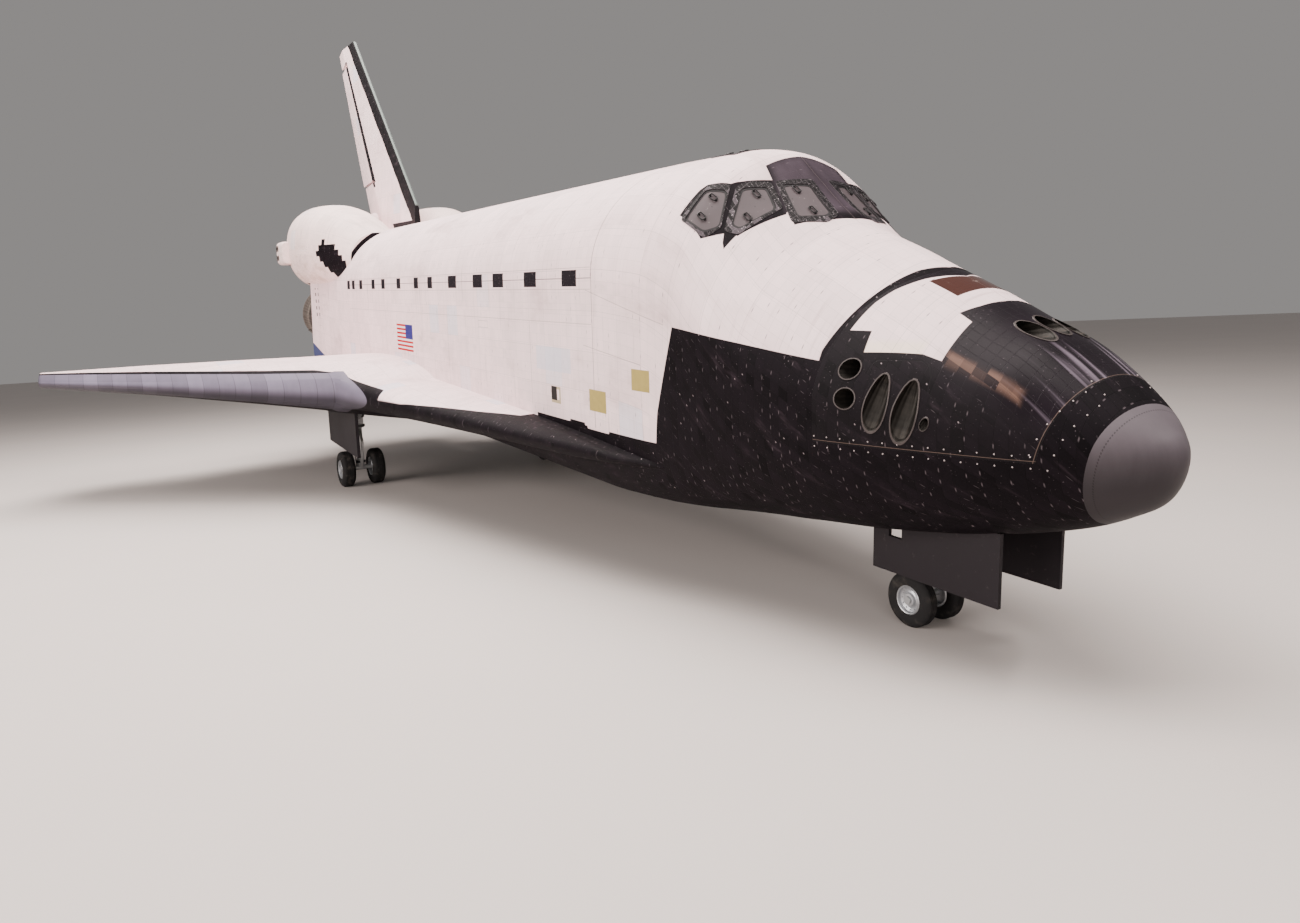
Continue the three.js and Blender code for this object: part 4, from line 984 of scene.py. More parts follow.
def cover_paint(name):
    """Window covers: flat grey with slow changes of tone, scuffs and small screws."""
    paint = Paint(name)
    cloud = paint.noise(paint.place, 2.6, 4.0)
    scuff = paint.rise(paint.noise(paint.place, 14.0, 5.0, 0.7), 0.64, 0.72)
    screws = paint.dots(paint.x, paint.y, 0.21, 0.009, 0.5)
    colour = paint.coats(paint.shade((72, 64, 67), 0.7 + cloud * 0.52), ((170, 164, 162), scuff * 0.35),
                         ((40, 36, 38), screws))
    return paint.finish(colour, 0.46 + cloud * 0.2, screws * -1.0 + scuff * 0.2, 0.0008)


# How far out the wing's black edge begins above, for stations in metres.
WING_BLACK = [(5.0, 2.3), (10.9, 2.3), (11.5, 2.45), (11.51, 2.9), (11.9, 3.02), (12.8, 3.32), (13.9, 3.62),
              (15.1, 3.93), (16.0, 4.13), (17.34, 4.35), (17.36, 4.1), (18.45, 4.25), (19.74, 4.43),
              (20.74, 4.74), (21.3, 5.05), (22.0, 5.75), (27.6, 11.35), (32.5, 16.25)]


def chain(paint, value, pairs):
    """A value that runs in straight lines between pairs of place and value."""
    ramp = paint.node("ShaderNodeFloatCurve")
    low, high = pairs[0][0], pairs[-1][0]
    least = min(v for _, v in pairs)
    span = max(v for _, v in pairs) - least
    paint.feed(ramp.inputs["Value"], (value - low) * (1.0 / (high - low)))
    curve = ramp.mapping.curves[0]
    points = [((place - low) / (high - low), (v - least) / span) for place, v in pairs]
    while len(curve.points) < len(points):
        curve.points.new(0.5, 0.5)
    for knot, place in zip(curve.points, points):
        knot.location = place
        knot.handle_type = "VECTOR"
    ramp.mapping.update()
    return Field(paint, ramp.outputs[0]) * span + least


def wing_paint(name):
    """The wing: white above, black tiles below and in a band along the glove's edge."""
    paint = Paint(name, "station", "out")
    out = paint.size(paint.out)
    under = 1.0 - paint.rise(paint.height - 0.8 - (out - 2.5) * 0.034, 0.0, 0.01)
    edge = paint.rise(out - chain(paint, paint.station, WING_BLACK), 0.0, 0.02)
    return blended(paint, white_skin(paint), black_skin(paint), paint.most(under, edge))


def panel_paint(name, white_top=True, trailing=None):
    """A control surface: white above and black tiles below and along its trailing edge."""
    paint = Paint(name, "station", "out")
    out = paint.size(paint.out)
    plane = 0.826 + (out - 2.9) * 0.0327 if white_top else 5.0
    under = 1.0 - paint.rise(paint.height - plane, 0.0, 0.01)
    if trailing:
        under = paint.most(under, paint.rise(paint.station, trailing, trailing + 0.01))
    return blended(paint, white_skin(paint), black_skin(paint), under)


def pod_paint(name):
    """The engine pods: white tiles, a black zig-zag patch and a black edge at the bay door."""
    paint = Paint(name)
    x, y = paint.station, paint.height
    out = paint.size(paint.out)
    tile_x = paint.floor(x / 0.2) * 0.2
    tile_y = paint.floor((y + 0.1) / 0.2) * 0.2
    zigzag = [(27.4, 4.3), (27.9, 5.15), (28.9, 5.45), (29.3, 4.9), (28.2, 4.0)]
    patch = paint.inside(tile_x, tile_y, zigzag, 0.002) * paint.rise(out, 2.2, 2.25)
    crown, _, half, widest, power, _ = smooth_table(HULL, POD[0, 0])[0]
    across = paint.math("POWER", out / (half / METRE + 0.14), power)
    upward = paint.math("POWER", paint.size(y - widest / METRE) / ((crown - widest) / METRE + 0.14), power)
    edge = (1.0 - paint.rise(x, 27.3, 27.31)) * (1.0 - paint.rise(across + upward, 1.0, 1.005))
    white = white_skin(paint, 0.3)
    stain = paint.noise(paint.point(x * 0.8, y * 2.5, out), 1.4, 5.0, 0.65)
    stain = paint.rise(stain - (y - 4.0) * 0.12, 0.4, 0.7)
    stained = paint.mix(white[0], (168, 138, 112), stain * 0.5)
    return blended(paint, (stained, white[1], white[2]), black_skin(paint), paint.most(patch, edge))


def fin_paint(name):
    """The fin: white blankets, a black leading band, a black strip along its foot and a painted highlight
    along its front edge.
    """
    paint = Paint(name, "station", "height")
    station, height = paint.station, paint.height
    back = station - 26.0 - (height - 5.41)
    ragged = paint.floor(height / 0.3)
    lead = 1.0 - paint.rise(back - 0.8 - paint.chance(ragged, 4.0) * 0.05, 0.0, 0.01)
    foot = paint.band(height, 5.0, 6.12) * paint.band(back, 0.0, 2.9)
    hinge = station - 32.014 - (height - 7.976) * 0.6962
    cove = paint.band(hinge, -0.2, 0.1) * paint.band(height, 7.7, 13.3)
    # Painted highlight: metal is a pale green-grey line along the fin's front edge that stands in for light
    # on the edge; it also lowers the roughness a little.
    metal = 1.0 - paint.rise(back, 0.05, 0.07)
    colour, rough, relief = over(paint, white_skin(paint), black_skin(paint), paint.most(lead, foot, cove))
    colour = paint.mix(colour, (130, 142, 138), metal * 0.55)
    return paint.finish(colour, rough - metal * 0.15, relief, 0.0016)


def lining_paint(name):
    """The cargo bay's lining: quilted pale blankets with square stitching."""
    paint = Paint(name, "station", "height")
    quilt, seam = paint.tiles(paint.station, paint.height + paint.size(paint.out) * 0.5, 0.3, 0.3, 0.01)
    puff = paint.noise(paint.place, 12.0, 3.0)
    colour = paint.shade((206, 204, 196), 0.86 + quilt * 0.08 + puff * 0.1)
    return paint.finish(paint.shade(colour, 1.0 - seam * 0.3), 0.75, puff * 0.4 - seam, 0.006)


def radiator_paint(name):
    """The doors' inner radiators: silvered strips with fine lines between them."""
    paint = Paint(name, "station", "height")
    strip, seam = paint.tiles(paint.station, paint.out + paint.height, 0.6, 0.05, 0.003)
    cloud = paint.noise(paint.place, 3.0, 3.0)
    colour = paint.shade((206, 210, 216), 0.82 + strip * 0.1 + cloud * 0.12)
    return paint.finish(paint.shade(colour, 1.0 - seam * 0.35), 0.2 + cloud * 0.12, 1.0 - seam, 0.0012, 0.85)


def aft_paint(name):
    """The heat blankets round the engines: dark grey quilts and tiles."""
    paint = Paint(name, "out", "height")
    quilt, seam = paint.tiles(paint.out, paint.height, 0.24, 0.24, 0.008)
    puff = paint.noise(paint.place, 9.0, 4.0)
    colour = paint.shade((78, 72, 74), 0.6 + quilt * 0.3 + puff * 0.4)
    return paint.finish(paint.shade(colour, 1.0 - seam * 0.4), 0.62, 1.0 - seam + puff * 0.3, 0.003)


def rubber_paint(name):
    """Tyre rubber: near-black with dust and fine cracks."""
    paint = Paint(name, "station", "height")
    dust = paint.noise(paint.place, 5.0, 4.0)
    crack = paint.rise(paint.noise(paint.place, 90.0, 2.0), 0.6, 0.66)
    colour = paint.mix((34, 33, 34), (96, 90, 84), paint.rise(dust, 0.5, 0.8) * 0.5)
    return paint.finish(paint.shade(colour, 1.0 - crack * 0.2), 0.78 + dust * 0.1, crack * -1.0, 0.0006)


# Plain finishes: display colour, roughness, grain, metal, depth of relief and wear.
PLAIN = {
    "inner_metal": ((58, 56, 56), 0.6, 20.0),
    "cabin_lining": ((150, 152, 148), 0.7, 20.0),
    "wheel_well": ((148, 152, 128), 0.55, 20.0),
    "window_reveal": ((40, 36, 38), 0.5, 60.0),
    "seal_rubber": ((26, 24, 26), 0.55, 70.0),
    "handle_black": ((24, 22, 24), 0.4, 90.0),
    "port_rim": ((50, 42, 41), 0.5, 45.0, 0.2, 0.0006, 0.3),
    "leg_metal": ((176, 178, 180), 0.35, 40.0, 0.6),
    "gear_dark": ((66, 66, 68), 0.45, 50.0, 0.4),
    "gear_line": ((70, 56, 40), 0.5, 60.0),
    "wheel_alloy": ((182, 184, 188), 0.38, 50.0, 0.7),
    "seam_fastener": ((168, 158, 158), 0.5, 80.0),
    "door_skin": ((30, 26, 30), 0.6, 26.0),
}
# The other finishes: the function that makes each, and its settings.
SPECIAL = {
    "carbon_cap": (carbon_paint,),
    "carbon_edge": (carbon_paint, 0.37, (100, 94, 110)),
    # Thruster insides: dark sooted metal, made darker still as painted shade deep inside the thrusters.
    "port_tube": (bell_paint, (26, 24, 22), (62, 58, 54), 12),
    "bell_metal": (bell_paint, (86, 78, 74), (142, 132, 124), 60),
    "pod_bell": (bell_paint, (66, 60, 60), (120, 108, 100), 30),
    "window_frame": (frame_paint,),
    "cover_grey": (cover_paint,),
    "body_skin": (body_paint,),
    "module_skin": (module_paint,),
    "wing_skin": (wing_paint,),
    "elevon_skin": (panel_paint, True, 31.9),
    "flap_skin": (panel_paint, False),
    "pod_skin": (pod_paint,),
    "fin_skin": (fin_paint,),
    "bay_lining": (lining_paint,),
    "radiator": (radiator_paint,),
    "aft_blanket": (aft_paint,),
    "tyre_black": (rubber_paint,),
}


def paint_of(name):
    """The named material, made when it is first asked for."""
    made = bpy.data.materials.get(name)
    if not made:
        maker, *settings = (plain_paint, *PLAIN[name]) if name in PLAIN else SPECIAL[name]
        made = maker(name, *settings)
    return made


def dress(node, name):
    """Gives a CAD node a procedural material."""
    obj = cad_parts[node]
    obj.data.materials.clear()
    obj.data.materials.append(paint_of(name))


# Stage

# The camera's place as station, out and height in millimetres, its right, down and
# forward directions along the craft's forward, left and up, its focal length and
# the height of its axis, both in widths of the picture.
CAMERA_SPOT = (-4891.5, -9787.9, 3780.3)
CAMERA_AXES = ((0.51980, 0.85397, -0.02311), (0.11905, -0.09920, -0.98792),
               (-0.84595, 0.51078, -0.15323))
CAMERA_FOCAL = 878.94 / 1300
CAMERA_SHIFT = -45.5 / 1300
CAMERA_SENSOR = 36.0
# Lamps: name, place, aim, width and height, and watts.
LAMPS = (
    ("roof_front", (14.0, -4.0, 24.0), (8.0, 0.0, 2.0), (26.0, 14.0), 11000.0),
    ("roof_aft", (-12.0, -4.0, 28.0), (-8.0, 0.0, 2.0), (30.0, 16.0), 22000.0),
    ("side_right", (4.0, -40.0, 15.0), (-2.0, 0.0, 4.0), (44.0, 16.0), 18000.0),
    ("nose_right", (42.0, -18.0, 14.0), (12.0, 0.0, 3.0), (16.0, 12.0), 4500.0),
    ("nose_streak", (26.0, 6.0, 16.0), (15.5, 0.0, 2.5), (10.0, 0.8), 1800.0),
)


def make_stage():
    """Floor and soft lights."""
    scene = bpy.context.scene
    half = 200.0
    floor_paint = Paint("stage_floor", "station", "out")
    worn = floor_paint.noise(floor_paint.place, 0.15, 4.0)
    floor = floor_paint.finish(floor_paint.shade((198, 190, 186), 0.95 + worn * 0.1), 0.6)
    floor_mesh = bpy.data.meshes.new("floor")
    floor_mesh.from_pydata([(-half, -half, 0), (half, -half, 0), (half, half, 0), (-half, half, 0)],
                           [], [(0, 1, 2, 3)])
    floor_mesh.materials.append(floor)
    linked("floor", floor_mesh)
    world = bpy.data.worlds.new("studio")
    world.use_nodes = True
    world.node_tree.nodes["Background"].inputs[0].default_value = linear(206, 202, 200)
    world.node_tree.nodes["Background"].inputs[1].default_value = 0.45
    scene.world = world
    for name, spot, aim, width, watts in LAMPS:
        lamp = bpy.data.lights.new(name, "AREA")
        lamp.shape = "RECTANGLE"
        lamp.size, lamp.size_y = width
        lamp.energy = watts
        lamp.color = linear(255, 246, 240)[:3]
        holder = linked(name, lamp)
        holder.location = spot
        holder.rotation_euler = (Vector(aim) - Vector(spot)).to_track_quat("-Z", "Y").to_euler()


def make_camera():
    """The camera, where the photograph was taken from."""
    camera = bpy.data.cameras.new("camera")
    camera.sensor_width = CAMERA_SENSOR
    camera.lens = CAMERA_FOCAL * CAMERA_SENSOR
    camera.shift_y = CAMERA_SHIFT
    camera.clip_end = 500.0
    holder = linked("camera", camera)
    right, down, forward = (
        Vector((x * PITCH_COS + z * PITCH_SIN, y, z * PITCH_COS - x * PITCH_SIN))
        for x, y, z in CAMERA_AXES)
    turn = Matrix((right, -down, -forward)).transposed()
    holder.matrix_world = Matrix.Translation(Vector(spots(CAMERA_SPOT))) @ turn.to_4x4()
    bpy.context.scene.camera = holder


# Repeats

# Geometry trees: inputs with their first values, nodes with their fixed values, and
# links. A link runs from one of the tree's inputs, or a node's first output, to the
# named input of a node, and the copies come last.
TREES = {
    # Small round heads at even distances along a path.
    "fastener_row": (
        {"Spacing": 0.2, "Radius": 0.01},
        {"curve": ("GeometryNodeMeshToCurve", {}),
         "even": ("GeometryNodeResampleCurve", {"mode": "LENGTH"}),
         "head": ("GeometryNodeMeshUVSphere", {"Segments": 8, "Rings": 5}),
         "copies": ("GeometryNodeInstanceOnPoints", {})},
        (("Geometry", "curve", "Mesh"), ("curve", "even", "Curve"), ("Spacing", "even", "Length"),
         ("Radius", "head", "Radius"), ("even", "copies", "Points"), ("head", "copies", "Instance"))),
    # Six-sided heads spaced round a circle about the Z axis.
    "bolt_ring": (
        {"Count": 10, "Radius": 0.1, "Size": 0.02, "Height": 0.02},
        {"circle": ("GeometryNodeMeshCircle", {}),
         "head": ("GeometryNodeMeshCylinder", {"Vertices": 6}),
         "copies": ("GeometryNodeInstanceOnPoints", {})},
        (("Count", "circle", "Vertices"), ("Radius", "circle", "Radius"), ("Size", "head", "Radius"),
         ("Height", "head", "Depth"), ("circle", "copies", "Points"), ("head", "copies", "Instance"))),
    # Curved frames of square section, spaced along the X axis.
    "bay_frames": (
        {"Count": 10, "Spacing": 1.0, "Radius": 2.2, "Depth": 0.06},
        {"arc": ("GeometryNodeCurveArc", {"Resolution": 40, "Start Angle": math.radians(183),
                                          "Sweep Angle": math.radians(174)}),
         "section": ("GeometryNodeCurvePrimitiveQuadrilateral", {}),
         "swept": ("GeometryNodeCurveToMesh", {"Fill Caps": True}),
         "stand": ("GeometryNodeTransform", {"Rotation": (math.radians(90), 0.0, math.radians(90))}),
         "offset": ("ShaderNodeCombineXYZ", {}),
         "line": ("GeometryNodeMeshLine", {}),
         "copies": ("GeometryNodeInstanceOnPoints", {})},
        (("Radius", "arc", "Radius"), ("Depth", "section", "Width"), ("Depth", "section", "Height"),
         ("arc", "swept", "Curve"), ("section", "swept", "Profile Curve"), ("swept", "stand", "Geometry"),
         ("Count", "line", "Count"), ("Spacing", "offset", "X"), ("offset", "line", "Offset"),
         ("line", "copies", "Points"), ("stand", "copies", "Instance"))),
}
# Every tree ends by making its copies real and giving them the material.
TREE_END = {"real": ("GeometryNodeRealizeInstances", {}), "finish": ("GeometryNodeSetMaterial", {}),
            "end": ("NodeGroupOutput", {})}
END_LINKS = (("copies", "real", "Geometry"), ("real", "finish", "Geometry"),
             ("Material", "finish", "Material"), ("finish", "end", "Geometry"))


def tree_of(name):
    """The named geometry tree, made when it is first asked for."""
    tree = bpy.data.node_groups.get(name)
    if tree:
        return tree
    inputs, nodes, links = TREES[name]
    tree = bpy.data.node_groups.new(name, "GeometryNodeTree")
    tree.interface.new_socket("Geometry", in_out="OUTPUT", socket_type="NodeSocketGeometry")
    tree.interface.new_socket("Geometry", in_out="INPUT", socket_type="NodeSocketGeometry")
    for label, value in inputs.items():
        kind = "NodeSocketInt" if isinstance(value, int) else "NodeSocketFloat"
        tree.interface.new_socket(label, in_out="INPUT", socket_type=kind).default_value = value
    tree.interface.new_socket("Material", in_out="INPUT", socket_type="NodeSocketMaterial")
    made = {}
    sources = dict(tree.nodes.new("NodeGroupInput").outputs.items())
    for label, (kind, values) in {**nodes, **TREE_END}.items():
        made[label] = tree.nodes.new(kind)
        if made[label].outputs:
            sources[label] = made[label].outputs[0]
        for key, value in values.items():
            if key in made[label].inputs:
                made[label].inputs[key].default_value = value
            else:
                setattr(made[label], key, value)
    for source, label, socket in (*links, *END_LINKS):
        tree.links.new(sources[source], made[label].inputs[socket])
    return tree


def grown(obj, tree_name, paint, **values):
    """Runs a geometry tree on an object and keeps its plain mesh."""
    tree = tree_of(tree_name)
    modifier = obj.modifiers.new(tree.name, "NODES")
    modifier.node_group = tree
    values["Material"] = paint_of(paint)
    for item in tree.interface.items_tree:
        if item.in_out == "INPUT" and item.name in values:
            modifier[item.identifier] = values[item.name]
    return settle(obj)


def path_object(name, paths):
    """Loose edges through one or more paths of craft points."""
    points, edges = [], []
    for path in paths:
        edges += [(len(points) + i, len(points) + i + 1) for i in range(len(path) - 1)]
        points += [tuple(p) for p in spots(path)]
    mesh = bpy.data.meshes.new(name)
    mesh.from_pydata(points, edges, [])
    return linked(name, mesh)


def bolt_ring(name, centre, way, count, radius, size, height, paint):
    """A ring of bolt heads about an axis through a craft point."""
    seed = linked(name, bpy.data.meshes.new(name))
    grown(seed, "bolt_ring", paint, Count=count, Radius=radius / METRE, Size=size / METRE,
          Height=height / METRE)
    start = spots(centre)
    aim = Vector(spots(np.asarray(centre, float) + np.asarray(way, float) * METRE) - start)
    turn = aim.to_track_quat("Z", "Y").to_matrix().to_4x4()
    seed.data.transform(Matrix.Translation(Vector(start)) @ turn)
    return seed


# Nose and forward body

# Window outlines, as stations and degrees round the body from level: the frame's
# outside, the pane and the two handles on its cover.
WINDOWS = {
    "side": (((6726, 33.6), (6704, 50.6), (6425, 54.8), (6112, 41.0), (6226, 33.9)),
             ((6662, 34.1), (6673, 47.9), (6408, 51.8), (6345, 50.9), (6127, 40.6), (6280, 34.9)),
             ((6470, 46.6), (6427, 38.8))),
    "middle": (((6343, 55.3), (6310, 59.6), (6121, 66.9), (5715, 63.2), (5850, 43.7), (6053, 41.0)),
               ((6280, 56.6), (6095, 64.3), (5749, 61.1), (5898, 45.2), (6019, 44.1)),
               ((6100, 59.2), (5930, 50.6))),
    "front": (((6107, 68.6), (5945, 84.4), (5262, 82.0), (5190, 73.9), (5457, 61.6)),
              ((6020, 69.8), (5872, 80.9), (5310, 78.9), (5285, 75.5), (5480, 64.9)),
              ((5860, 73.4), (5470, 72.4))),
    "overhead": (((7100, 85.5), (7750, 85.5), (7750, 71.5), (7100, 71.5)),
                 ((7150, 84.0), (7700, 84.0), (7700, 73.0), (7150, 73.0)),
                 ((7230, 78.5), (7620, 78.5))),
}
# Thruster ports of the module, as in the part's source: station, out, height, the
# way they point forward, out and up, and their radius.
PORTS = [
    (3262, 1888, 2612, 0, 1, 0.1, 130), (3223, 2022, 2246, 0, 1, 0.1, 130),
    (2829, 1875, 2230, 0, 0.5, -0.86, 140), (2477, 1750, 2159, 0, 0.46, -0.89, 145),
    (2245, 1676, 2010, 0, 0.7, -0.7, 50), (1800, 345, 3080, 0.985, 0, 0.17, 150),
    (1800, 0, 3135, 0.985, 0, 0.17, 150),
]
# A thruster's inside as shares of its mouth's radius, and distance outwards.
PORT_BELL = [(0.16, -400), (0.2, -385), (0.42, -350), (0.66, -270), (0.84, -160), (0.95, -60), (1.0, 0),
             (1.1, 450)]
HATCH = SimpleNamespace(station=6100, height=2000, inner=1800, inner_radius=366, outer=3200,
    outer_radius=646, gap=5, hinge_out=2560, hinge_height=1480)
NOSE_WELL = ((1850, 4060), (-660, 660), (-500, 1420))


def window_prism(name, corners, side, paint, shrink=0.0, depths=(-420.0, 260.0), round_off=70.0):
    """A prism through the skin over a window's outline, with rounded corners."""
    points = np.array([hull_spot(*corner) for corner in corners])
    points[:, 1] *= side
    normal = np.cross(points[2] - points[0], points[3] - points[1])
    normal /= np.linalg.norm(normal)
    if normal[2] < 0:
        normal = -normal
    centre = points.mean(0)
    inward = centre - points
    points = points + inward / np.linalg.norm(inward, axis=1)[:, None] * shrink
    outline = []
    for index, corner in enumerate(points):
        legs = []
        for other in (points[index - 1], points[(index + 1) % len(points)]):
            way = other - corner
            reach = min(round_off, 0.35 * np.linalg.norm(way))
            legs.append(corner + way / np.linalg.norm(way) * reach)
        outline += [legs[0] * (1 - t) ** 2 + 2 * corner * t * (1 - t) + legs[1] * t ** 2
                    for t in np.linspace(0, 1, 5)]
    rings = [[point + normal * depth for point in outline] for depth in depths]
    return loft(name, rings, paint)


def make_nose_cap():
    """Grey nose cap, cut by the leaning seam. Its sections crowd towards the nose tip."""
    stations = np.linspace(math.sqrt(HULL[0, 0]), math.sqrt(CAP_FOOT), 35) ** 2
    cap = hull_loft("nose_cap_skin", stations, "carbon_cap")
    behind = side_block("behind", [
        (CAP_FOOT, 0), (FAR, 0), (FAR, BAY_AXIS), (CAP_FOOT - CAP_LEAN * BAY_AXIS, BAY_AXIS)],
        "inner_metal")
    place_piece(carve(cap, [behind]), "grey_carbon", "nose_cap")


def module_block(name, grow, paint):
    """The space that the thruster module takes from the forward body."""
    def front(height):
        return MODULE_FOOT - MODULE_LEAN * height - grow
    top = MODULE_AFT_EDGE[-1][1]
    aft = MODULE_AFT_EDGE[0][0]
    return side_block(name, [
        (front(MODULE_FLOOR), MODULE_FLOOR - grow), (aft + grow, MODULE_FLOOR - grow),
        *[(station + grow, height) for station, height in MODULE_AFT_EDGE], (front(top), top)], paint)


def port_axes():
    """Every thruster port's mouth, direction and radius, on both sides."""
    for station, out, height, forward, outward, upward, radius in PORTS:
        for side in ((1, -1) if out else (1,)):
            way = np.array([-forward, side * outward, upward], float)
            yield np.array([station, side * out, height], float), way / np.linalg.norm(way), radius


def make_module():
    """Forward thruster module with its thruster bells and their rims."""
    stations = np.arange(700, MODULE_AFT_EDGE[0][0] + 60, forms().mesh_step * 800)
    module = hull_loft("thruster_module_skin", stations, "module_skin")
    carve(module, [module_block("space", 0, "inner_metal")], "INTERSECT")
    bells, rods = [], []
    for mouth, way, radius in port_axes():
        profile = [(share * radius, distance) for share, distance in PORT_BELL]
        bells.append(turned("bell", profile, mouth, way, "port_tube", 40))
        wider = [(r + 0.11 * radius, distance) for r, distance in profile]
        rods.append(turned("rim", wider, mouth, way, "port_rim", 40))
    cutter = joined("bells", bells)
    rims = hull_loft("thruster_rims", stations, "port_rim", grow=forms().port_rim * METRE)
    inside = hull_loft("inside", stations[1:-1], "port_rim", grow=-14.0)
    carve(rims, [inside])
    carve(rims, [joined("rods", rods)], "INTERSECT")
    carve(rims, [copied(cutter, "mouths")])
    carve(module, [cutter])
    place_piece(module, "black_tile", "forward_thruster_module")
    place_piece(rims, "nozzle_metal")


def make_forward_body():
    """Forward body with its hollow cabin, window and hatch openings and nose wheel well."""
    step = forms().mesh_step * METRE
    body = hull_loft("forward_body_skin", np.concatenate([
        np.arange(560, 4200, step), np.arange(4200, 7400, step * 0.85), np.linspace(7400, BAY_FRONT, 16)]),
        "body_skin")
    inner, cabin = "inner_metal", "cabin_lining"
    ahead = side_block("ahead", [
        (-FAR, 0), (CAP_FOOT + SEAT_GAP, 0), (CAP_FOOT + SEAT_GAP - CAP_LEAN * FAR / 4, FAR / 4),
        (-FAR, FAR / 4)], inner)
    room = hull_loft("room", np.arange(5150, 8401, 65.0), cabin, grow=-190.0, count=60)
    carve(room, [block("low", (4000, 9000), (-4000, 4000), (-500, 620), cabin)])
    well = block("well", *NOSE_WELL, "wheel_well")
    windows = [window_prism("window", pane, side, "window_reveal")
               for _, pane, _ in WINDOWS.values() for side in (1, -1)]
    hatch = hatch_plug(HATCH.gap, cabin)
    carve(body, [ahead, module_block("module", SEAT_GAP, inner), room, well, hatch] + windows)
    place_piece(body, "white_tile", "forward_fuselage")


def hatch_plug(grow, paint):
    """The cone that the side hatch is cut from."""
    h = HATCH
    return rod("hatch", (h.station, h.inner, h.height), (h.station, h.outer, h.height),
               h.inner_radius + grow, h.outer_radius + grow, paint, 64)


def make_hatch():
    """The round side hatch with its hinge and a small round window, on the left."""
    h = HATCH
    span = (5000, 7300)
    door = hull_loft("side_hatch_skin", np.arange(*span, 70.0), "body_skin")
    inner = "inner_metal"
    carve(door, [hull_loft("inside", np.arange(span[0] - 70, span[1] + 70, 70.0), inner, grow=-150.0)])
    carve(door, [hatch_plug(0, inner)], "INTERSECT")
    port = rod("port", (h.station, 2400, h.height + 60), (h.station, 2700, h.height + 60),
               125, 125, "seal_rubber", 40)
    carve(door, [port])
    place_piece(door, "white_tile", "side_hatch", body="crew_hatch")
    out = hull_spot(h.station, -15)[1]
    glass = turned("side_hatch_window", [(0.5, 0), (122, 0), (122, 18), (60, 24), (0.5, 25)],
                   (h.station, out - 60, h.height + 60), (0, 1, 0), "cover_grey", 40)
    place_piece(glass, "window_cover", body="crew_hatch")
    hinge = rod("side_hatch_hinge", (h.station - 60, h.hinge_out, h.hinge_height),
                (h.station + 60, h.hinge_out, h.hinge_height), 24, 24, "leg_metal")
    arm = block("arm", (h.station - 60, h.station + 60), (h.hinge_out - 14, h.hinge_out + 14),
                (h.hinge_height + 10, h.hinge_height + 75), "leg_metal")
    place_piece(joined("side_hatch_arm", [hinge, bevelled(arm, 5)]), "gear_metal", body="crew_hatch")


def handle(name, station, degrees, side, paint):
    """A grab handle: a flat rounded loop held off the cover by two feet."""
    spot, ahead, above = (hull_spot(station + more, degrees + turn) * (1, side, 1)
                          for more, turn in ((0, 0), (20, 0), (0, 0.5)))
    along = (ahead - spot) / np.linalg.norm(ahead - spot)
    normal = np.cross(along, above - spot) * -side
    normal /= np.linalg.norm(normal)
    up = np.cross(normal, along)
    half, rise = forms().handle * METRE / 2, forms().handle * METRE / 4
    corners = [(half, rise), (half, -rise), (-half, -rise), (-half, rise)]
    middle = spot + normal * 14
    places = [middle + along * x + up * y for x, y in corners]
    loop = rounded([(places[0] + places[3]) / 2, *places, (places[0] + places[3]) / 2], 0.25)
    grip = tube(name, loop, 11, paint)
    feet = [turned("foot", [(1, -30), (20, -30), (20, 10), (14, 14), (1, 14)],
                   spot + along * half * sign, normal, paint, 16) for sign in (1, -1)]
    return joined(name, [grip, *feet])


def make_windows():
    """Window frames, seals, covers and their handles."""
    stations = np.arange(4900, 8000, 50.0)
    shells = {}
    for label, high, low, paint in (("frame", forms().frame_proud * METRE, -30.0, "window_frame"),
                                    ("seal", -6.0, -60.0, "seal_rubber"),
                                    ("cover", -14.0, -89.0, "cover_grey")):
        shell = hull_loft(label + "_shell", stations, paint, grow=high)
        shells[label] = carve(shell, [hull_loft("inside", stations[1:-1], paint, grow=low)]), paint
    for name, (outline, pane, grips) in WINDOWS.items():
        for side, word in ((1, "left"), (-1, "right")):
            label_end = f"{name}_{word}"
            for label, outer, shrink, inner, inner_shrink, slot, *nodes in (
                    ("frame", outline, 0, pane, 0, "black_tile"),
                    ("seal", pane, 1.2, pane, 44, "tyre_rubber"),
                    ("cover", pane, 44, None, 0, "window_cover", f"window_cover_{label_end}")):
                shell, paint = shells[label]
                piece = copied(shell, f"{label}_skin_{label_end}")
                carve(piece, [window_prism("outer", outer, side, paint, shrink)], "INTERSECT")
                if inner:
                    carve(piece, [window_prism("inner", inner, side, paint, inner_shrink)])
                place_piece(piece, slot, *nodes)
            loops = [handle(f"cover_handle_{label_end}", *grip, side, "handle_black") for grip in grips]
            place_piece(joined(f"cover_handles_{label_end}", loops), "black_tile")
    for shell, _ in shells.values():
        bpy.data.objects.remove(shell)


def surface_path(places, grow=2.0):
    """Craft points on the right side of the body's skin over stations and girths in metres."""
    path = []
    for station, girth in places:
        row = smooth_table(HULL, station * METRE)[0]
        out, height, along = half_ring(row, 400, grow)
        path.append((station * METRE, -np.interp(girth * METRE, along, out),
                     np.interp(girth * METRE, along, height)))
    return path


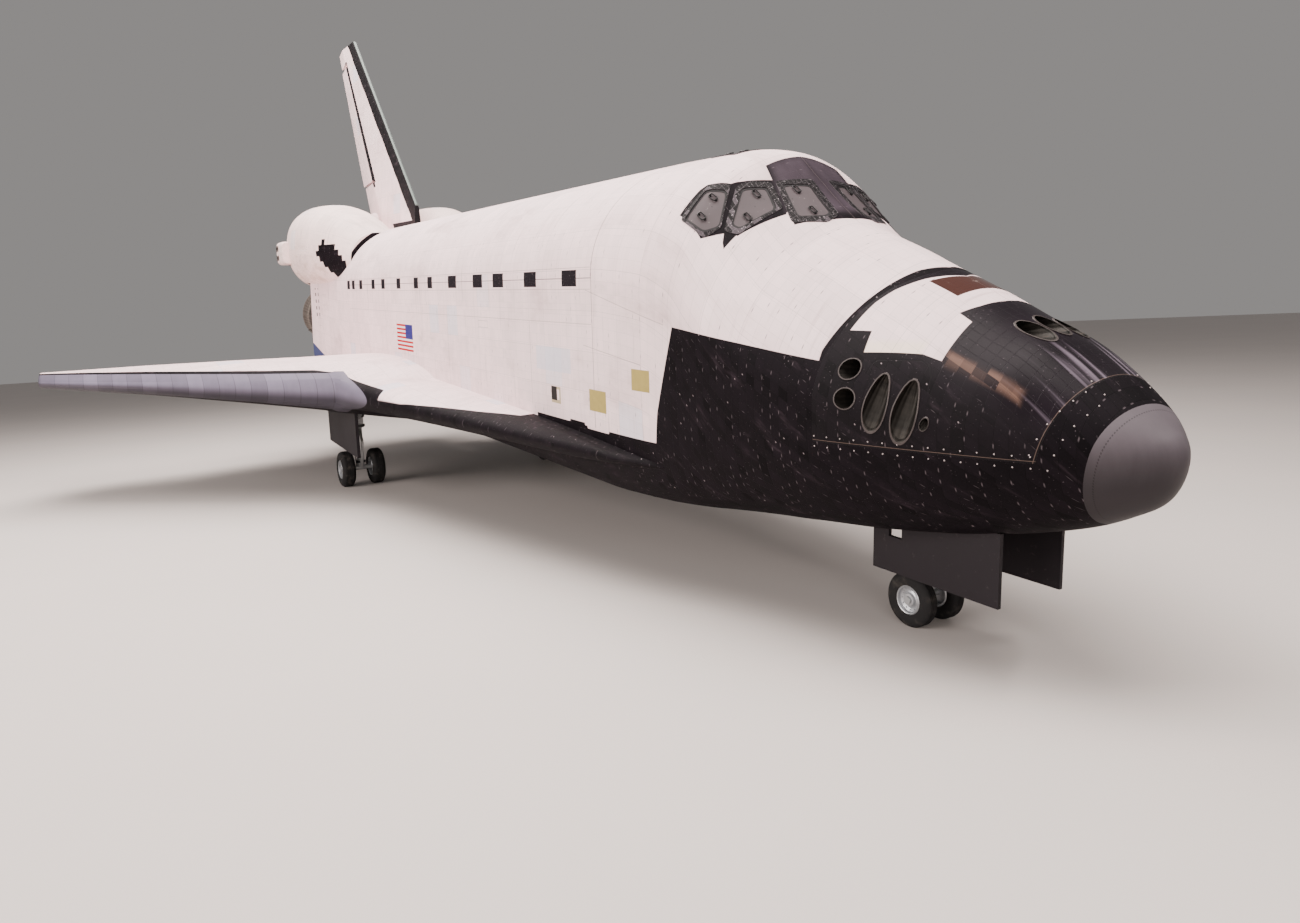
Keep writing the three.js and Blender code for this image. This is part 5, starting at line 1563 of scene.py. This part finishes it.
def make_fasteners():
    """Pale fasteners in rows along the thruster module's seams."""
    front = [(0.85, 0.46), (0.80, 0.67), (0.88, 1.02), (1.03, 1.62), (1.07, 1.78)]
    paths = []
    for places, shift in ((front, 0.09), (front, -0.07)):
        dense = np.array(places) + (shift, 0)
        girths = np.linspace(dense[0, 1], dense[-1, 1], 24)
        paths.append(surface_path([(np.interp(g, dense[:, 1], dense[:, 0]), g) for g in girths]))
    for rise in (75.0, -60.0):
        path = []
        for station in np.linspace(1150, 3640, 40):
            row = smooth_table(HULL, station)[0]
            out, height, _ = half_ring(row, 400, 2.0)
            level = MODULE_FLOOR + rise
            path.append((station, -np.interp(level, height[::-1], out[::-1]), level))
        paths.append(path)
    rows = path_object("module_fasteners", paths + [[(s, -o, h) for s, o, h in p] for p in paths])
    grown(rows, "fastener_row", "seam_fastener", Spacing=forms().fastener_gap, Radius=forms().fastener)
    place_piece(rows, "white_tile")


# Middle and aft body

# A bay door's gaps at its ends, the middle and the sill, its thickness, and how far
# in from the door its radiator stops.
DOOR_END, DOOR_MIDDLE, DOOR_SILL, DOOR_THICKNESS = 8, 4, 0.3, 85
RADIATOR_INSET = (350, 70, 140)
RADIATOR_THICKNESS = 55
ENGINES = (("upper", 30709, 0, 4470, 16, 0), ("left", 31297, 1346, 1920, 10, 3.5),
           ("right", 31297, -1346, 1920, 10, -3.5))
ENGINE_DOME = [(0.5, 500), (1080, 500), (1080, 1150), (1066, 1260), (1010, 1480), (930, 1640),
               (840, 1760), (725, 1860), (600, 1950), (0.5, 1950)]
MAIN_BELL = ((400, 1950.5), (520, 2110), (640, 2320), (770, 2580), (880, 2860), (975, 3160),
             (1050, 3480), (1125, 3860), (1194, 4267))
POD_BELL = ((190, 1060), (270, 1160), (330, 1270), (400, 1420), (460, 1580), (508, 1770), (546, 1956))
POD_ENGINE = SimpleNamespace(station=32563, out=2235, height=5715, up=15.8, yaw=6.5, start=1060,
    recess=620)
POD = np.array([
    [27270, 1420, 4620, 1020, 1020, 900],
    [27900, 1560, 4800, 1120, 1180, 1030],
    [28560, 1720, 4950, 1220, 1400, 1150],
    [29570, 1900, 5120, 1350, 1560, 1330],
    [30840, 2020, 5230, 1440, 1650, 1480],
    [32385, 2070, 5290, 1490, 1660, 1560],
    [33100, 2130, 5300, 1430, 1600, 1560],
    [33440, 2205, 5308, 1290, 1480, 1470],
    [33530, 2230, 5310, 1120, 1320, 1320],
])
STINGER = SimpleNamespace(front=32900, aft=34140, out=3440, height=5160, half_width=400, half_height=460)
FLAP_LUG = SimpleNamespace(hinge=33010, height=508, half_width=2700, width=90, bore=45.6)


def make_middle_body():
    """Middle body: a U of skin and lining with frames and rails, under the cargo bay doors."""
    front, aft = BAY_FRONT + SEAT_GAP, BAY_BULKHEAD - SEAT_GAP
    body = hull_loft("middle_body_skin", np.linspace(front, aft, 26), "body_skin")
    lining = "bay_lining"
    above = block("above", (front - 900, aft + 900), (-9000, 9000), (SILL, 9000), "inner_metal")
    trough = rod("trough", (BAY_FRONT - 100, 0, BAY_AXIS), (BAY_AFT, 0, BAY_AXIS), BAY_RADIUS, BAY_RADIUS,
                 lining, 96)
    mouth = block("mouth", (BAY_FRONT - 100, BAY_AFT), (-BAY_RADIUS, BAY_RADIUS), (BAY_AXIS, 9000), lining)
    carve(body, [above, trough, mouth])
    place_piece(body, "white_blanket", "mid_fuselage")
    ribs = linked("bay_frame_ribs", bpy.data.meshes.new("bay_frame_ribs"))
    count = forms().bay_frames
    spacing = (BAY_AFT - BAY_FRONT - 700) / (count - 1)
    grown(ribs, "bay_frames", "cabin_lining", Count=count, Spacing=-spacing / METRE,
          Radius=(BAY_RADIUS - 42) / METRE, Depth=0.09)
    ribs.data.transform(CRAFT_MATRIX @ Matrix.Translation((-(BAY_FRONT + 350) / METRE, 0, BAY_AXIS / METRE)))
    place_piece(ribs, "white_blanket")
    rails = []
    for side in (1, -1):
        out = side * (BAY_RADIUS - 60)
        rails.append(rod("rail", (BAY_FRONT + 120, out, SILL - 120), (BAY_AFT - 60, out, SILL - 120), 48, 48,
                         "leg_metal", 20))
        for station in np.linspace(BAY_FRONT + 900, BAY_AFT - 900, 9):
            clamp = block("clamp", (station - 90, station + 90), sorted((out, out + side * 62)),
                          (SILL - 190, SILL - 50), "leg_metal")
            rails.append(bevelled(clamp, 8))
    place_piece(joined("bay_rails", rails), "gear_metal")


def bay_shell(name, paint, grow, depth, inset=(0, 0, 0)):
    """A shell under the body's skin over the left half of the cargo bay."""
    end, middle, sill = inset
    front = BAY_FRONT + DOOR_END + end
    aft = BAY_BULKHEAD - DOOR_END - end
    shell = hull_loft(name, np.linspace(front, aft, 24), paint, grow=-grow)
    carve(shell, [hull_loft("inside", np.linspace(front - 50, aft + 50, 12), paint, grow=-grow - depth)])
    keep = block("keep", (0, FAR), (DOOR_MIDDLE + middle, 9000), (SILL + DOOR_SILL + sill, 9000), paint)
    return carve(shell, [keep], "INTERSECT")


def make_bay_doors():
    """Cargo bay doors with their inner radiators."""
    door = bay_shell("bay_door_skin_left", "body_skin", 0, DOOR_THICKNESS)
    radiator = bay_shell("bay_radiator_skin_left", "radiator", DOOR_THICKNESS + 0.3,
                         RADIATOR_THICKNESS, RADIATOR_INSET)
    for piece, slot, node in ((door, "white_blanket", "bay_door"),
                              (radiator, "radiator_silver", "bay_radiator")):
        other = mirrored(piece, f"{node}_right_skin")
        for obj, word in ((piece, "left"), (other, "right")):
            place_piece(obj, slot, f"{node}_{word}", body=f"bay_door_{word}_set")


def engine_way(up, out):
    """Direction that an engine points, aft, out and up, in degrees."""
    a, b = math.radians(up), math.radians(out)
    return np.array([math.cos(a) * math.cos(b), math.cos(a) * math.sin(b), math.sin(a)])


def make_aft_body():
    """Aft body with its sloping heat shield, engine domes and body flap lugs."""
    body = hull_loft("aft_body_skin", np.concatenate([
        np.linspace(BAY_BULKHEAD, 29235, 10)[:-1], np.linspace(29235, BODY_END, 24)]), "body_skin")
    slope = (BODY_END - 32100) / 5918
    blanket = "aft_blanket"
    behind = side_block("behind", [
        (BODY_END + slope * 500, -500), (BODY_END - slope * 7000, 7000), (FAR, 7000), (FAR, -500)], blanket)
    carve(body, [behind])
    place_piece(body, "white_tile", "aft_fuselage")
    for name, station, out, height, up, yaw in ENGINES:
        place_piece(turned(f"engine_dome_{name}", ENGINE_DOME, (station, out, height), engine_way(up, yaw),
                           blanket, 64), "black_tile")
    f = FLAP_LUG
    lugs = []
    for side in (1, -1):
        outs = sorted(side * (f.half_width + 8 + more) for more in (0, f.width))
        near, far = ((f.hinge, out, f.height) for out in outs)
        lug = block("lug", (BODY_END - 300, f.hinge), outs, (f.height - 110, f.height + 110), blanket)
        bore = rod("bore", (f.hinge, outs[0] - 20, f.height), (f.hinge, outs[1] + 20, f.height), f.bore,
                   f.bore, "inner_metal", 32)
        carve(lug, [rod("eye", near, far, 110, 110, blanket, 48)], "UNION")
        lugs.append(carve(lug, [bore]))
    place_piece(joined("body_flap_lugs", lugs), "gear_metal")


def bell(name, profile, wall, bands, start, way, paint, sides=96):
    """A nozzle bell with a wall and stiffening bands outside."""
    radii, along = np.array(profile).T
    fine = np.linspace(along[0], along[-1], 60)
    outer = [(float(np.interp(d, along, radii)), float(d)) for d in fine]
    banded = []
    for radius, distance in outer:
        near = min(abs(distance - place) for place in bands)
        banded.append((radius - 6 + (16 if near < 26 else 0), distance))
    inner = [(max(1.0, radius - wall), distance) for radius, distance in outer][::-1]
    ring = banded + inner
    return turned(name, ring + [ring[0]], start, way, paint, sides)


def make_nozzles():
    """Main engine nozzles with their bands, throats and feed pipes."""
    radii, distances = zip(*MAIN_BELL)
    for name, station, out, height, up, yaw in ENGINES:
        start, way = np.array([station, out, height], float), engine_way(up, yaw)
        bands = (2120, 2360, 2620, 2900, 3180, 3470, 3760, 4040, 4240)
        shell = bell(f"main_bell_{name}", MAIN_BELL, 45, bands, start, way, "bell_metal")
        place_piece(shell, "nozzle_metal", f"main_nozzle_{name}")
        profile = [(0.5, 1955), (355, 1955), (250, 2080), (150, 2140), (0.5, 2150)]
        place_piece(turned(f"main_throat_{name}", profile, start, way, "gear_dark", 64), "nozzle_metal")
        _, aside, third = axis_frame(way)
        pipes = []
        for turn in np.radians((35, 150, 265)):
            arm = aside * math.cos(turn) + third * math.sin(turn)
            route = [start + way * d + arm * (np.interp(d, distances, radii) + 36)
                     for d in np.linspace(1990, 4150, 16)]
            bend = rounded([route[0] - arm * 60, *route, route[-1] - arm * 50], 0.2, 2)
            pipes.append(tube("pipe", bend, 26, "bell_metal"))
        place_piece(joined(f"main_feed_pipes_{name}", pipes), "nozzle_metal")


def squared_ring(station, out, height, half, rise, drop, power, count):
    """A section like a rounded square, with its own reach above and below its middle."""
    angles = np.arange(count) * 2 * math.pi / count
    cosine, sine = np.cos(angles), np.sin(angles)
    return np.stack([
        np.full(count, station), out + np.sign(cosine) * half * np.abs(cosine) ** power,
        height + np.sign(sine) * np.where(sine > 0, rise, drop) * np.abs(sine) ** power], -1)


def pod_rings():
    """Sections of the left engine pod, from its table."""
    stations = np.concatenate([np.linspace(POD[0, 0], 33100, 46), np.linspace(33160, POD[-1, 0], 12)])
    return [squared_ring(station, *row, 2 / 2.3, 64)
            for station, row in zip(stations, smooth_table(POD, stations))]


def stinger_box(name, paint):
    """The rounded box beside the pod's aft end that holds its small thrusters."""
    s = STINGER
    ends = ((s.front, 0.9), (s.front + 160, 0.97), (s.front + 400, 1.0), (s.aft - 160, 1.0),
            (s.aft - 50, 0.97), (s.aft, 0.9))
    rings = [squared_ring(station, s.out, s.height, s.half_width * share, s.half_height * share,
                          s.half_height * share, 0.4, 48) for station, share in ends]
    return loft(name, rings, paint, "ring")


def make_pods():
    """Engine pods with their stingers, small thrusters and nozzles."""
    e, s = POD_ENGINE, STINGER
    start, way = np.array([e.station, e.out, e.height], float), engine_way(e.up, e.yaw)
    pod = loft("engine_pod_skin_left", pod_rings(), "pod_skin", "ring")
    carve(pod, [stinger_box("stinger", "pod_skin")], "UNION")
    tubes = []
    for index, station in enumerate((s.aft - 780, s.aft - 480, s.aft - 200)):
        if index:
            for level in (-170, 190):
                tubes.append(((station, s.out + s.half_width, s.height + level), (0, 1, 0.05), 105))
        tubes.append(((station, s.out - 40, s.height + s.half_height), (0, 0.1, 1), 95))
        tubes.append(((station, s.out - 40, s.height - s.half_height), (0, 0.35, -1), 95))
    for level in (-190, 190):
        tubes.append(((s.aft, s.out, s.height + level), (1, 0, 0), 110))
    bells, rims = [], []
    for mouth, aim, radius in tubes:
        aim = np.array(aim, float) / np.linalg.norm(aim)
        bells.append(turned("bell", [(0.3 * radius, -230), (0.5 * radius, -200), (0.85 * radius, -90),
                                     (radius, 0), (1.04 * radius, 120)], mouth, aim, "port_tube", 28))
        lip = [(radius, -8), (radius * 1.16, -8), (radius * 1.16, 1), (radius * 1.06, 4), (radius, 1)]
        rims.append(turned("rim", lip + [lip[0]], mouth, aim, "port_rim", 28))
    recess = rod("recess", start + way * (e.start - 0.5), start + way * 3000, e.recess, e.recess,
                 "aft_blanket", 48)
    cutters = [recess, hull_loft("body", np.linspace(26000, BODY_END, 30), "inner_metal", grow=0.5),
               fin_block("fin", 0.5, "inner_metal")] + bells
    carve(pod, cutters)
    nozzle = bell("pod_bell_left", POD_BELL, 28, (1300, 1500, 1700, 1935), start, way, "pod_bell", 64)
    place_pair(pod, "engine_pod_skin", "white_blanket", "engine_pod")
    place_pair(joined("stinger_rims_left", rims), "stinger_rims", "nozzle_metal")
    place_pair(nozzle, "pod_bell", "nozzle_metal", "pod_nozzle")


# Fin

FIN = SimpleNamespace(foot=5410, top=13900, front=26000, front_slope=1.0, aft=33070, aft_slope=0.4932,
    clear_front=27280, nose=60)
RUDDER = SimpleNamespace(bottom=7976, top=13081, hinge_bottom=32014, hinge_top=35568,
    radius_bottom=300, radius_top=168)


def fin_ring(height, grow=0.0):
    """One level section of the fin, with a rounded nose."""
    f, r = FIN, RUDDER
    share = (height - r.bottom) / (r.top - r.bottom)
    front = f.front + (height - f.foot) * f.front_slope
    hinge = r.hinge_bottom + (r.hinge_top - r.hinge_bottom) * share
    half = r.radius_bottom + (r.radius_top - r.radius_bottom) * share + grow
    aft = f.aft + (height - f.foot) * f.aft_slope + grow
    nose = f.nose + grow
    side = [(front - grow, 0), (front + 30, nose * 0.75), (front + 160, nose * 1.3), (hinge, half),
            (aft, 22 + grow)]
    ring = [(s, y, height) for s, y in side]
    return ring + [(s, -y, height) for s, y in side[:0:-1]]


def fin_block(name, grow, paint):
    """The space that the fin takes, down to the body."""
    fin = loft(name, [fin_ring(FIN.foot - 500, grow), fin_ring(FIN.top, grow)], paint)
    ahead = block("ahead", (0, FIN.clear_front), (-2000, 2000), (0, 20000), paint)
    return carve(fin, [ahead])


# Wings

WING = np.array([
    [2500, 6706, 32250, 810, 1650, 512], [2900, 7900, 32180, 826, 1600, 500],
    [3400, 11070, 32090, 846, 1530, 480], [4050, 15180, 31970, 871, 1430, 450],
    [4775, 20015, 31840, 899, 1320, 400], [6500, 21740, 31540, 967, 1130, 250],
    [9000, 24240, 31100, 1059, 800, 110], [11896, 27136, 30590, 1118, 420, 50]])
WING_APEX = 15240.0
EDGE_START, EDGE_DEPTH = 19700.0, 470.0
ELEVON_HINGE = 29235.0
ELEVONS = ((2900, 7874, 361, 252, 32190, 31345), (7986, 11840, 250, 161, 31325, 30600))
MAIN_WELL = ((20400, 24200), (2770, 4230), (-2000, 1330))


def wing_section(out):
    """One section of the left wing, from its table, with the strake ahead of the main wing."""
    front, aft, height, thickness, edge = (np.interp(out, WING[:, 0], column) for column in WING.T[1:])
    main = max(WING_APEX + out, front + 0.02 * (aft - front))
    ahead = (np.linspace(0, 1, 15) ** 2)[:-1]
    behind = np.linspace(0, 1, 34) ** 1.7
    stations = list(front + (main - front) * ahead)
    halves = list(edge * np.sqrt(ahead))
    shape = 5 * (0.2969 * np.sqrt(behind) - 0.126 * behind - 0.3516 * behind ** 2 + 0.2843 * behind ** 3
                 - 0.1036 * behind ** 4)
    stations += list(main + (aft - main) * behind)
    halves += list(np.maximum(np.hypot(thickness * shape, edge * (1 - behind)), 12))
    upper = [(s, out, height + half) for s, half in zip(stations, halves)]
    lower = [(s, out, height - half) for s, half in zip(stations[1:], halves[1:])]
    return upper + lower[::-1]


def wing_loft(name, paint):
    """The whole left wing before anything is cut from it."""
    outs = np.unique(np.concatenate([WING[:, 0], np.linspace(2500, 4775, 22), np.linspace(4775, 11896, 40)]))
    return loft(name, [wing_section(out) for out in outs], paint, "ring")


def edge_space(name, grow, paint):
    """The space ahead of a line parallel to the main wing's leading edge."""
    def run(out):
        return WING_APEX + out + EDGE_DEPTH * math.sqrt(2) + grow
    inner, outer = EDGE_START - WING_APEX - grow, 12396
    corners = [(run(inner), inner), (run(outer), outer), (run(outer) - 9000, outer),
               (run(inner) - 9000, inner)]
    return loft(name, [[(s, out, height) for s, out in corners] for height in (-1000, 3000)], paint)


def hinge_spot(out):
    """A craft point on the elevons' hinge line."""
    def plane(at):
        return np.interp(at, WING[:, 0], WING[:, 3])
    near, far = ELEVONS[0][0], ELEVONS[-1][1]
    share = (out - near) / (far - near)
    return np.array([ELEVON_HINGE, out, plane(near) + (plane(far) - plane(near)) * share])


def elevon_space(name, row, paint, grow=24.0, over=8.0, up=33.0, down=18.0, steps=24):
    """The space that an elevon sweeps, opened for its turns up and down."""
    near, far, radius_near, radius_far, aft_near, aft_far = row
    hinges = [hinge_spot(near - over), hinge_spot(far + over)]
    line = hinges[1] - hinges[0]
    line /= np.linalg.norm(line)
    arc = np.radians(np.linspace(90 + up, 270 - down, steps + 1))
    outside = 1 / math.cos((arc[1] - arc[0]) / 2)
    rings = []
    for hinge, radius, aft, out in ((hinges[0], radius_near + grow, aft_near, near - over),
                                    (hinges[1], radius_far + grow, aft_far, far + over)):
        back = np.array([aft, out, hinge_spot(out)[2]]) - hinge
        span = line * np.dot(back, line)
        chord = back - span
        length = np.linalg.norm(chord)
        u = chord / length
        v = np.array([0, 0, 1.0]) - u * u[2]
        v -= line * np.dot(v, line)
        v /= np.linalg.norm(v)
        lift = [outside * radius / math.cos(a) + length * math.tan(a) for a in np.radians((up, down))]
        ring = [hinge + u * length + v * lift[0] + span]
        reach = outside * radius
        ring += [hinge + u * reach * math.cos(a) + v * reach * math.sin(a) for a in arc]
        ring.append(hinge + u * length - v * lift[1] + span)
        rings.append(ring)
    return loft(name, rings, paint)


def make_wings():
    """Wings with their grey front panels, and materials for the control surfaces."""
    inner = "inner_metal"
    wing = wing_loft("wing_skin_left", "wing_skin")
    bore = rod("bore", hinge_spot(2840), hinge_spot(11890), 45.6, 45.6, inner, 32)
    carve(wing, [
        edge_space("edge", 0.5, inner), block("well", *MAIN_WELL, "wheel_well"),
        *[elevon_space("cove", row, inner) for row in ELEVONS], bore,
        block("behind", (ELEVON_HINGE + 120, FAR), (2000, 12500), (-1500, 3000), inner),
        block("under", (0, FAR), (0, 2682), (-1500, 120), inner),
        hull_loft("body", np.concatenate([np.linspace(4000, 8788, 60), np.linspace(8900, BODY_END, 30)]),
                  inner, grow=0.5)])
    edge = wing_loft("wing_edge_skin_left", "carbon_edge")
    carve(edge, [edge_space("edge", 0, inner)], "INTERSECT")
    place_pair(wing, "wing_skin", "white_blanket", "wing")
    place_pair(edge, "wing_edge_skin", "grey_carbon", "wing_leading_edge")
    for word in ("left", "right"):
        for place in ("inner", "outer"):
            dress(f"elevon_{place}_{word}", "elevon_skin")
    dress("body_flap", "flap_skin")


def make_fin():
    """Materials for the fin, the split rudder and its core."""
    dress("vertical_fin", "fin_skin")
    for word in ("left", "right"):
        dress(f"rudder_panel_{word}", "fin_skin")
    dress("rudder_core", "leg_metal")


# Landing gear

MAIN_GEAR = SimpleNamespace(station=23617, out=3454, radius=565, width=406, wheel_out=463, hub=79)
NOSE_GEAR = SimpleNamespace(station=3607, out=0, radius=406, width=224, wheel_out=285, hub=51)
GROUND_AT_NOSE = -1070.0


def axle_height(gear):
    """Height of a gear's axle above the belly plane."""
    ground = GROUND_AT_NOSE - gear.station * math.tan(PITCH)
    return ground + gear.radius / math.cos(PITCH)


def wheel_pair(gear, out, prefix, body):
    """Tyres with grooves, dished wheels and their bolts."""
    height = axle_height(gear)
    radius, half, hub = gear.radius, gear.width / 2, gear.hub
    for place, sign in (("inner", -1), ("outer", 1)):
        side = -sign if out < 0 else sign
        centre = np.array([gear.station, out + side * gear.wheel_out, height], float)
        bead = radius * 0.53
        shape = [(bead, 0.8), (radius * 0.62, 0.94), (radius * 0.72, 1.0), (radius * 0.84, 0.96),
                 (radius * 0.93, 0.82), (radius * 0.985, 0.6)]
        tread = []
        for groove in (0.45, 0.17):
            tread += [(radius, groove + 0.045), (radius - 11, groove + 0.03), (radius - 11, groove - 0.03),
                      (radius, groove - 0.045)]
        upper = [(r, half * w) for r, w in shape + tread]
        ring = [(r, -w) for r, w in upper[::-1]][::-1] + upper[::-1]
        tyre = turned(f"{prefix}_tyre_skin_{place}", ring + [ring[0]], centre, (0, 1, 0),
                      "tyre_black", 72)
        outer = bead - 0.5
        dish = [(hub + 1, -0.5), (outer * 0.5, -0.5), (outer * 0.7, -0.36), (outer * 0.86, -0.1),
                (outer * 0.88, -0.85), (outer * 0.94, -0.9), (outer, -0.78), (outer, 0.78),
                (outer * 0.94, 0.9), (outer * 0.88, 0.85), (outer * 0.84, 0.4), (outer * 0.62, 0.24),
                (outer * 0.48, 0.36), (outer * 0.42, 0.68), (hub + 1, 0.7)]
        profile = [(r, w * half) for r, w in dish]
        wheel = turned(f"{prefix}_wheel_skin_{place}", profile + [profile[0]], centre, (0, side, 0),
                       "wheel_alloy", 64)
        bolts = bolt_ring("bolts", centre + (0, side * half * 0.36, 0), (0, side, 0), 12, outer * 0.72,
                          outer * 0.045, outer * 0.12, "wheel_alloy")
        place_piece(tyre, "tyre_rubber", f"{prefix}_tyre_{place}", body=body)
        place_piece(joined(wheel.name, [wheel, bolts]), "wheel_metal", f"{prefix}_wheel_{place}", body=body)


def collar(name, place, low, inner, outer, tall, slope):
    """A ring round an upright leg, with sloping shoulders."""
    profile = [(inner, low), (outer, low + slope), (outer, low + tall - slope), (inner, low + tall),
               (inner, low)]
    return turned(name, profile, place, (0, 0, 1), "gear_dark", 40)


def make_gear():
    """Materials for the gear's legs and doors, and its wheels, lines, collars and lamps."""
    for node in ("main_leg_left", "main_leg_right", "nose_leg", "nose_steering"):
        dress(node, "leg_metal")
    for place in ("main", "nose"):
        for word in ("left", "right"):
            dress(f"{place}_gear_door_{word}", "door_skin")
    axle, station = axle_height(MAIN_GEAR), MAIN_GEAR.station
    for word, side in (("left", 1), ("right", -1)):
        out = side * MAIN_GEAR.out
        wheel_pair(MAIN_GEAR, out, f"main_{word}", f"main_{word}_wheels")
        lines = []
        for aside in (-120, 120):
            route = [(station + more, out + aside, height) for more, height in (
                (150, 1200), (215, 600), (215, -500), (150, -760), (130, axle + 240), (90, axle + 60))]
            lines.append(tube("line", rounded(route), 14, "gear_line"))
        place_piece(joined(f"main_leg_lines_{word}", lines), "gear_metal")
        collars = [collar("collar", (station, out, 0), low, 178, 212, 90, 12)
                   for low in (-640, -330, 180, 640)]
        collars.append(collar("sleeve", (station, out, axle + 150), 0, 116, 150, 80, 10))
        place_piece(joined(f"main_leg_collars_{word}", collars), "gear_metal")
    wheel_pair(NOSE_GEAR, 0, "nose", "nose_wheels")
    station = NOSE_GEAR.station
    lamps = []
    for side in (1, -1):
        lamps.append(turned("lamp", [(1, -70), (60, -60), (82, 20), (82, 34), (70, 30), (1, 12)],
                            (station - 60, side * 205, -120), (-1, 0, 0), "gear_dark", 36))
        lamps.append(rod("stalk", (station - 40, side * 100, -120), (station - 60, side * 180, -120),
                         18, 18, "gear_dark", 16))
    place_piece(joined("nose_leg_lamps", lamps), "gear_metal")
    collars = [collar("collar", (station, 0, 0), low, 124, 156, 70, 10) for low in (-320, 60, 520)]
    place_piece(joined("nose_leg_collars", collars), "gear_metal")
    route = [(station + 120, 60, 1100), (station + 165, 60, 500), (station + 165, 60, -260)]
    place_piece(tube("nose_leg_line", rounded(route), 13, "gear_line"), "gear_metal")


# Operators and their panel

class ORBITER_OT_stage(bpy.types.Operator):
    """Make the floor, the soft lamps and the camera."""
    bl_idname = "orbiter.stage"
    bl_label = "Stage"

    def execute(self, context):
        make_stage()
        make_camera()
        return {"FINISHED"}


class ORBITER_OT_nose(bpy.types.Operator):
    """Make the nose cap, the thruster module and its fasteners."""
    bl_idname = "orbiter.nose"
    bl_label = "Nose"

    def execute(self, context):
        make_nose_cap()
        make_module()
        make_fasteners()
        return {"FINISHED"}


class ORBITER_OT_forward_body(bpy.types.Operator):
    """Make the cabin section and its side hatch."""
    bl_idname = "orbiter.forward_body"
    bl_label = "Forward Body"

    def execute(self, context):
        make_forward_body()
        make_hatch()
        return {"FINISHED"}


class ORBITER_OT_windows(bpy.types.Operator):
    """Make the window frames, seals, covers and handles."""
    bl_idname = "orbiter.windows"
    bl_label = "Windows"

    def execute(self, context):
        make_windows()
        return {"FINISHED"}


class ORBITER_OT_middle_body(bpy.types.Operator):
    """Make the cargo bay section with its frames and rails."""
    bl_idname = "orbiter.middle_body"
    bl_label = "Middle Body"

    def execute(self, context):
        make_middle_body()
        return {"FINISHED"}


class ORBITER_OT_bay_doors(bpy.types.Operator):
    """Make the cargo bay doors and their radiators."""
    bl_idname = "orbiter.bay_doors"
    bl_label = "Bay Doors"

    def execute(self, context):
        make_bay_doors()
        return {"FINISHED"}


class ORBITER_OT_aft_body(bpy.types.Operator):
    """Make the engine section, its domes and the flap lugs."""
    bl_idname = "orbiter.aft_body"
    bl_label = "Aft Body"

    def execute(self, context):
        make_aft_body()
        return {"FINISHED"}


class ORBITER_OT_nozzles(bpy.types.Operator):
    """Make the three engine bells with their bands and pipes."""
    bl_idname = "orbiter.nozzles"
    bl_label = "Main Nozzles"

    def execute(self, context):
        make_nozzles()
        return {"FINISHED"}


class ORBITER_OT_pods(bpy.types.Operator):
    """Make the pods, their small thrusters and nozzles."""
    bl_idname = "orbiter.pods"
    bl_label = "Engine Pods"

    def execute(self, context):
        make_pods()
        return {"FINISHED"}


class ORBITER_OT_fin(bpy.types.Operator):
    """Paint the fin and the split rudder."""
    bl_idname = "orbiter.fin"
    bl_label = "Fin"

    def execute(self, context):
        make_fin()
        return {"FINISHED"}


class ORBITER_OT_wings(bpy.types.Operator):
    """Make the wings and paint their control surfaces."""
    bl_idname = "orbiter.wings"
    bl_label = "Wings"

    def execute(self, context):
        make_wings()
        return {"FINISHED"}


class ORBITER_OT_gear(bpy.types.Operator):
    """Make the wheels, tyres, lines and lamps of the gear."""
    bl_idname = "orbiter.gear"
    bl_label = "Landing Gear"

    def execute(self, context):
        make_gear()
        return {"FINISHED"}


PIECES = (
    ORBITER_OT_stage, ORBITER_OT_nose, ORBITER_OT_forward_body, ORBITER_OT_windows,
    ORBITER_OT_middle_body, ORBITER_OT_bay_doors, ORBITER_OT_aft_body, ORBITER_OT_nozzles,
    ORBITER_OT_pods, ORBITER_OT_fin, ORBITER_OT_wings, ORBITER_OT_gear,
)


class ORBITER_PT_panel(bpy.types.Panel):
    """The craft's settings, and a button for each of its pieces."""
    bl_idname = "ORBITER_PT_panel"
    bl_label = "Orbiter"
    bl_space_type = "VIEW_3D"
    bl_region_type = "UI"
    bl_category = "Orbiter"

    def draw(self, context):
        for settings in (skin(), forms()):
            for name in settings.__annotations__:
                self.layout.prop(settings, name)
        for piece in PIECES:
            self.layout.operator(piece.bl_idname)


def register():
    """Adds the settings, the operators and the panel to Blender."""
    for kind in (*GROUPS.values(), *PIECES, ORBITER_PT_panel):
        bpy.utils.register_class(kind)
    for name, kind in GROUPS.items():
        setattr(bpy.types.Scene, name, bpy.props.PointerProperty(type=kind))


def unregister():
    """Takes them out again."""
    for name in GROUPS:
        delattr(bpy.types.Scene, name)
    for kind in (ORBITER_PT_panel, *PIECES[::-1], *GROUPS.values()):
        bpy.utils.unregister_class(kind)


def main():
    """Makes every piece in turn."""
    register()
    for piece in PIECES:
        getattr(bpy.ops.orbiter, piece.bl_idname.split(".")[1])()
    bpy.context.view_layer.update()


if __name__ == "__main__":
    main()
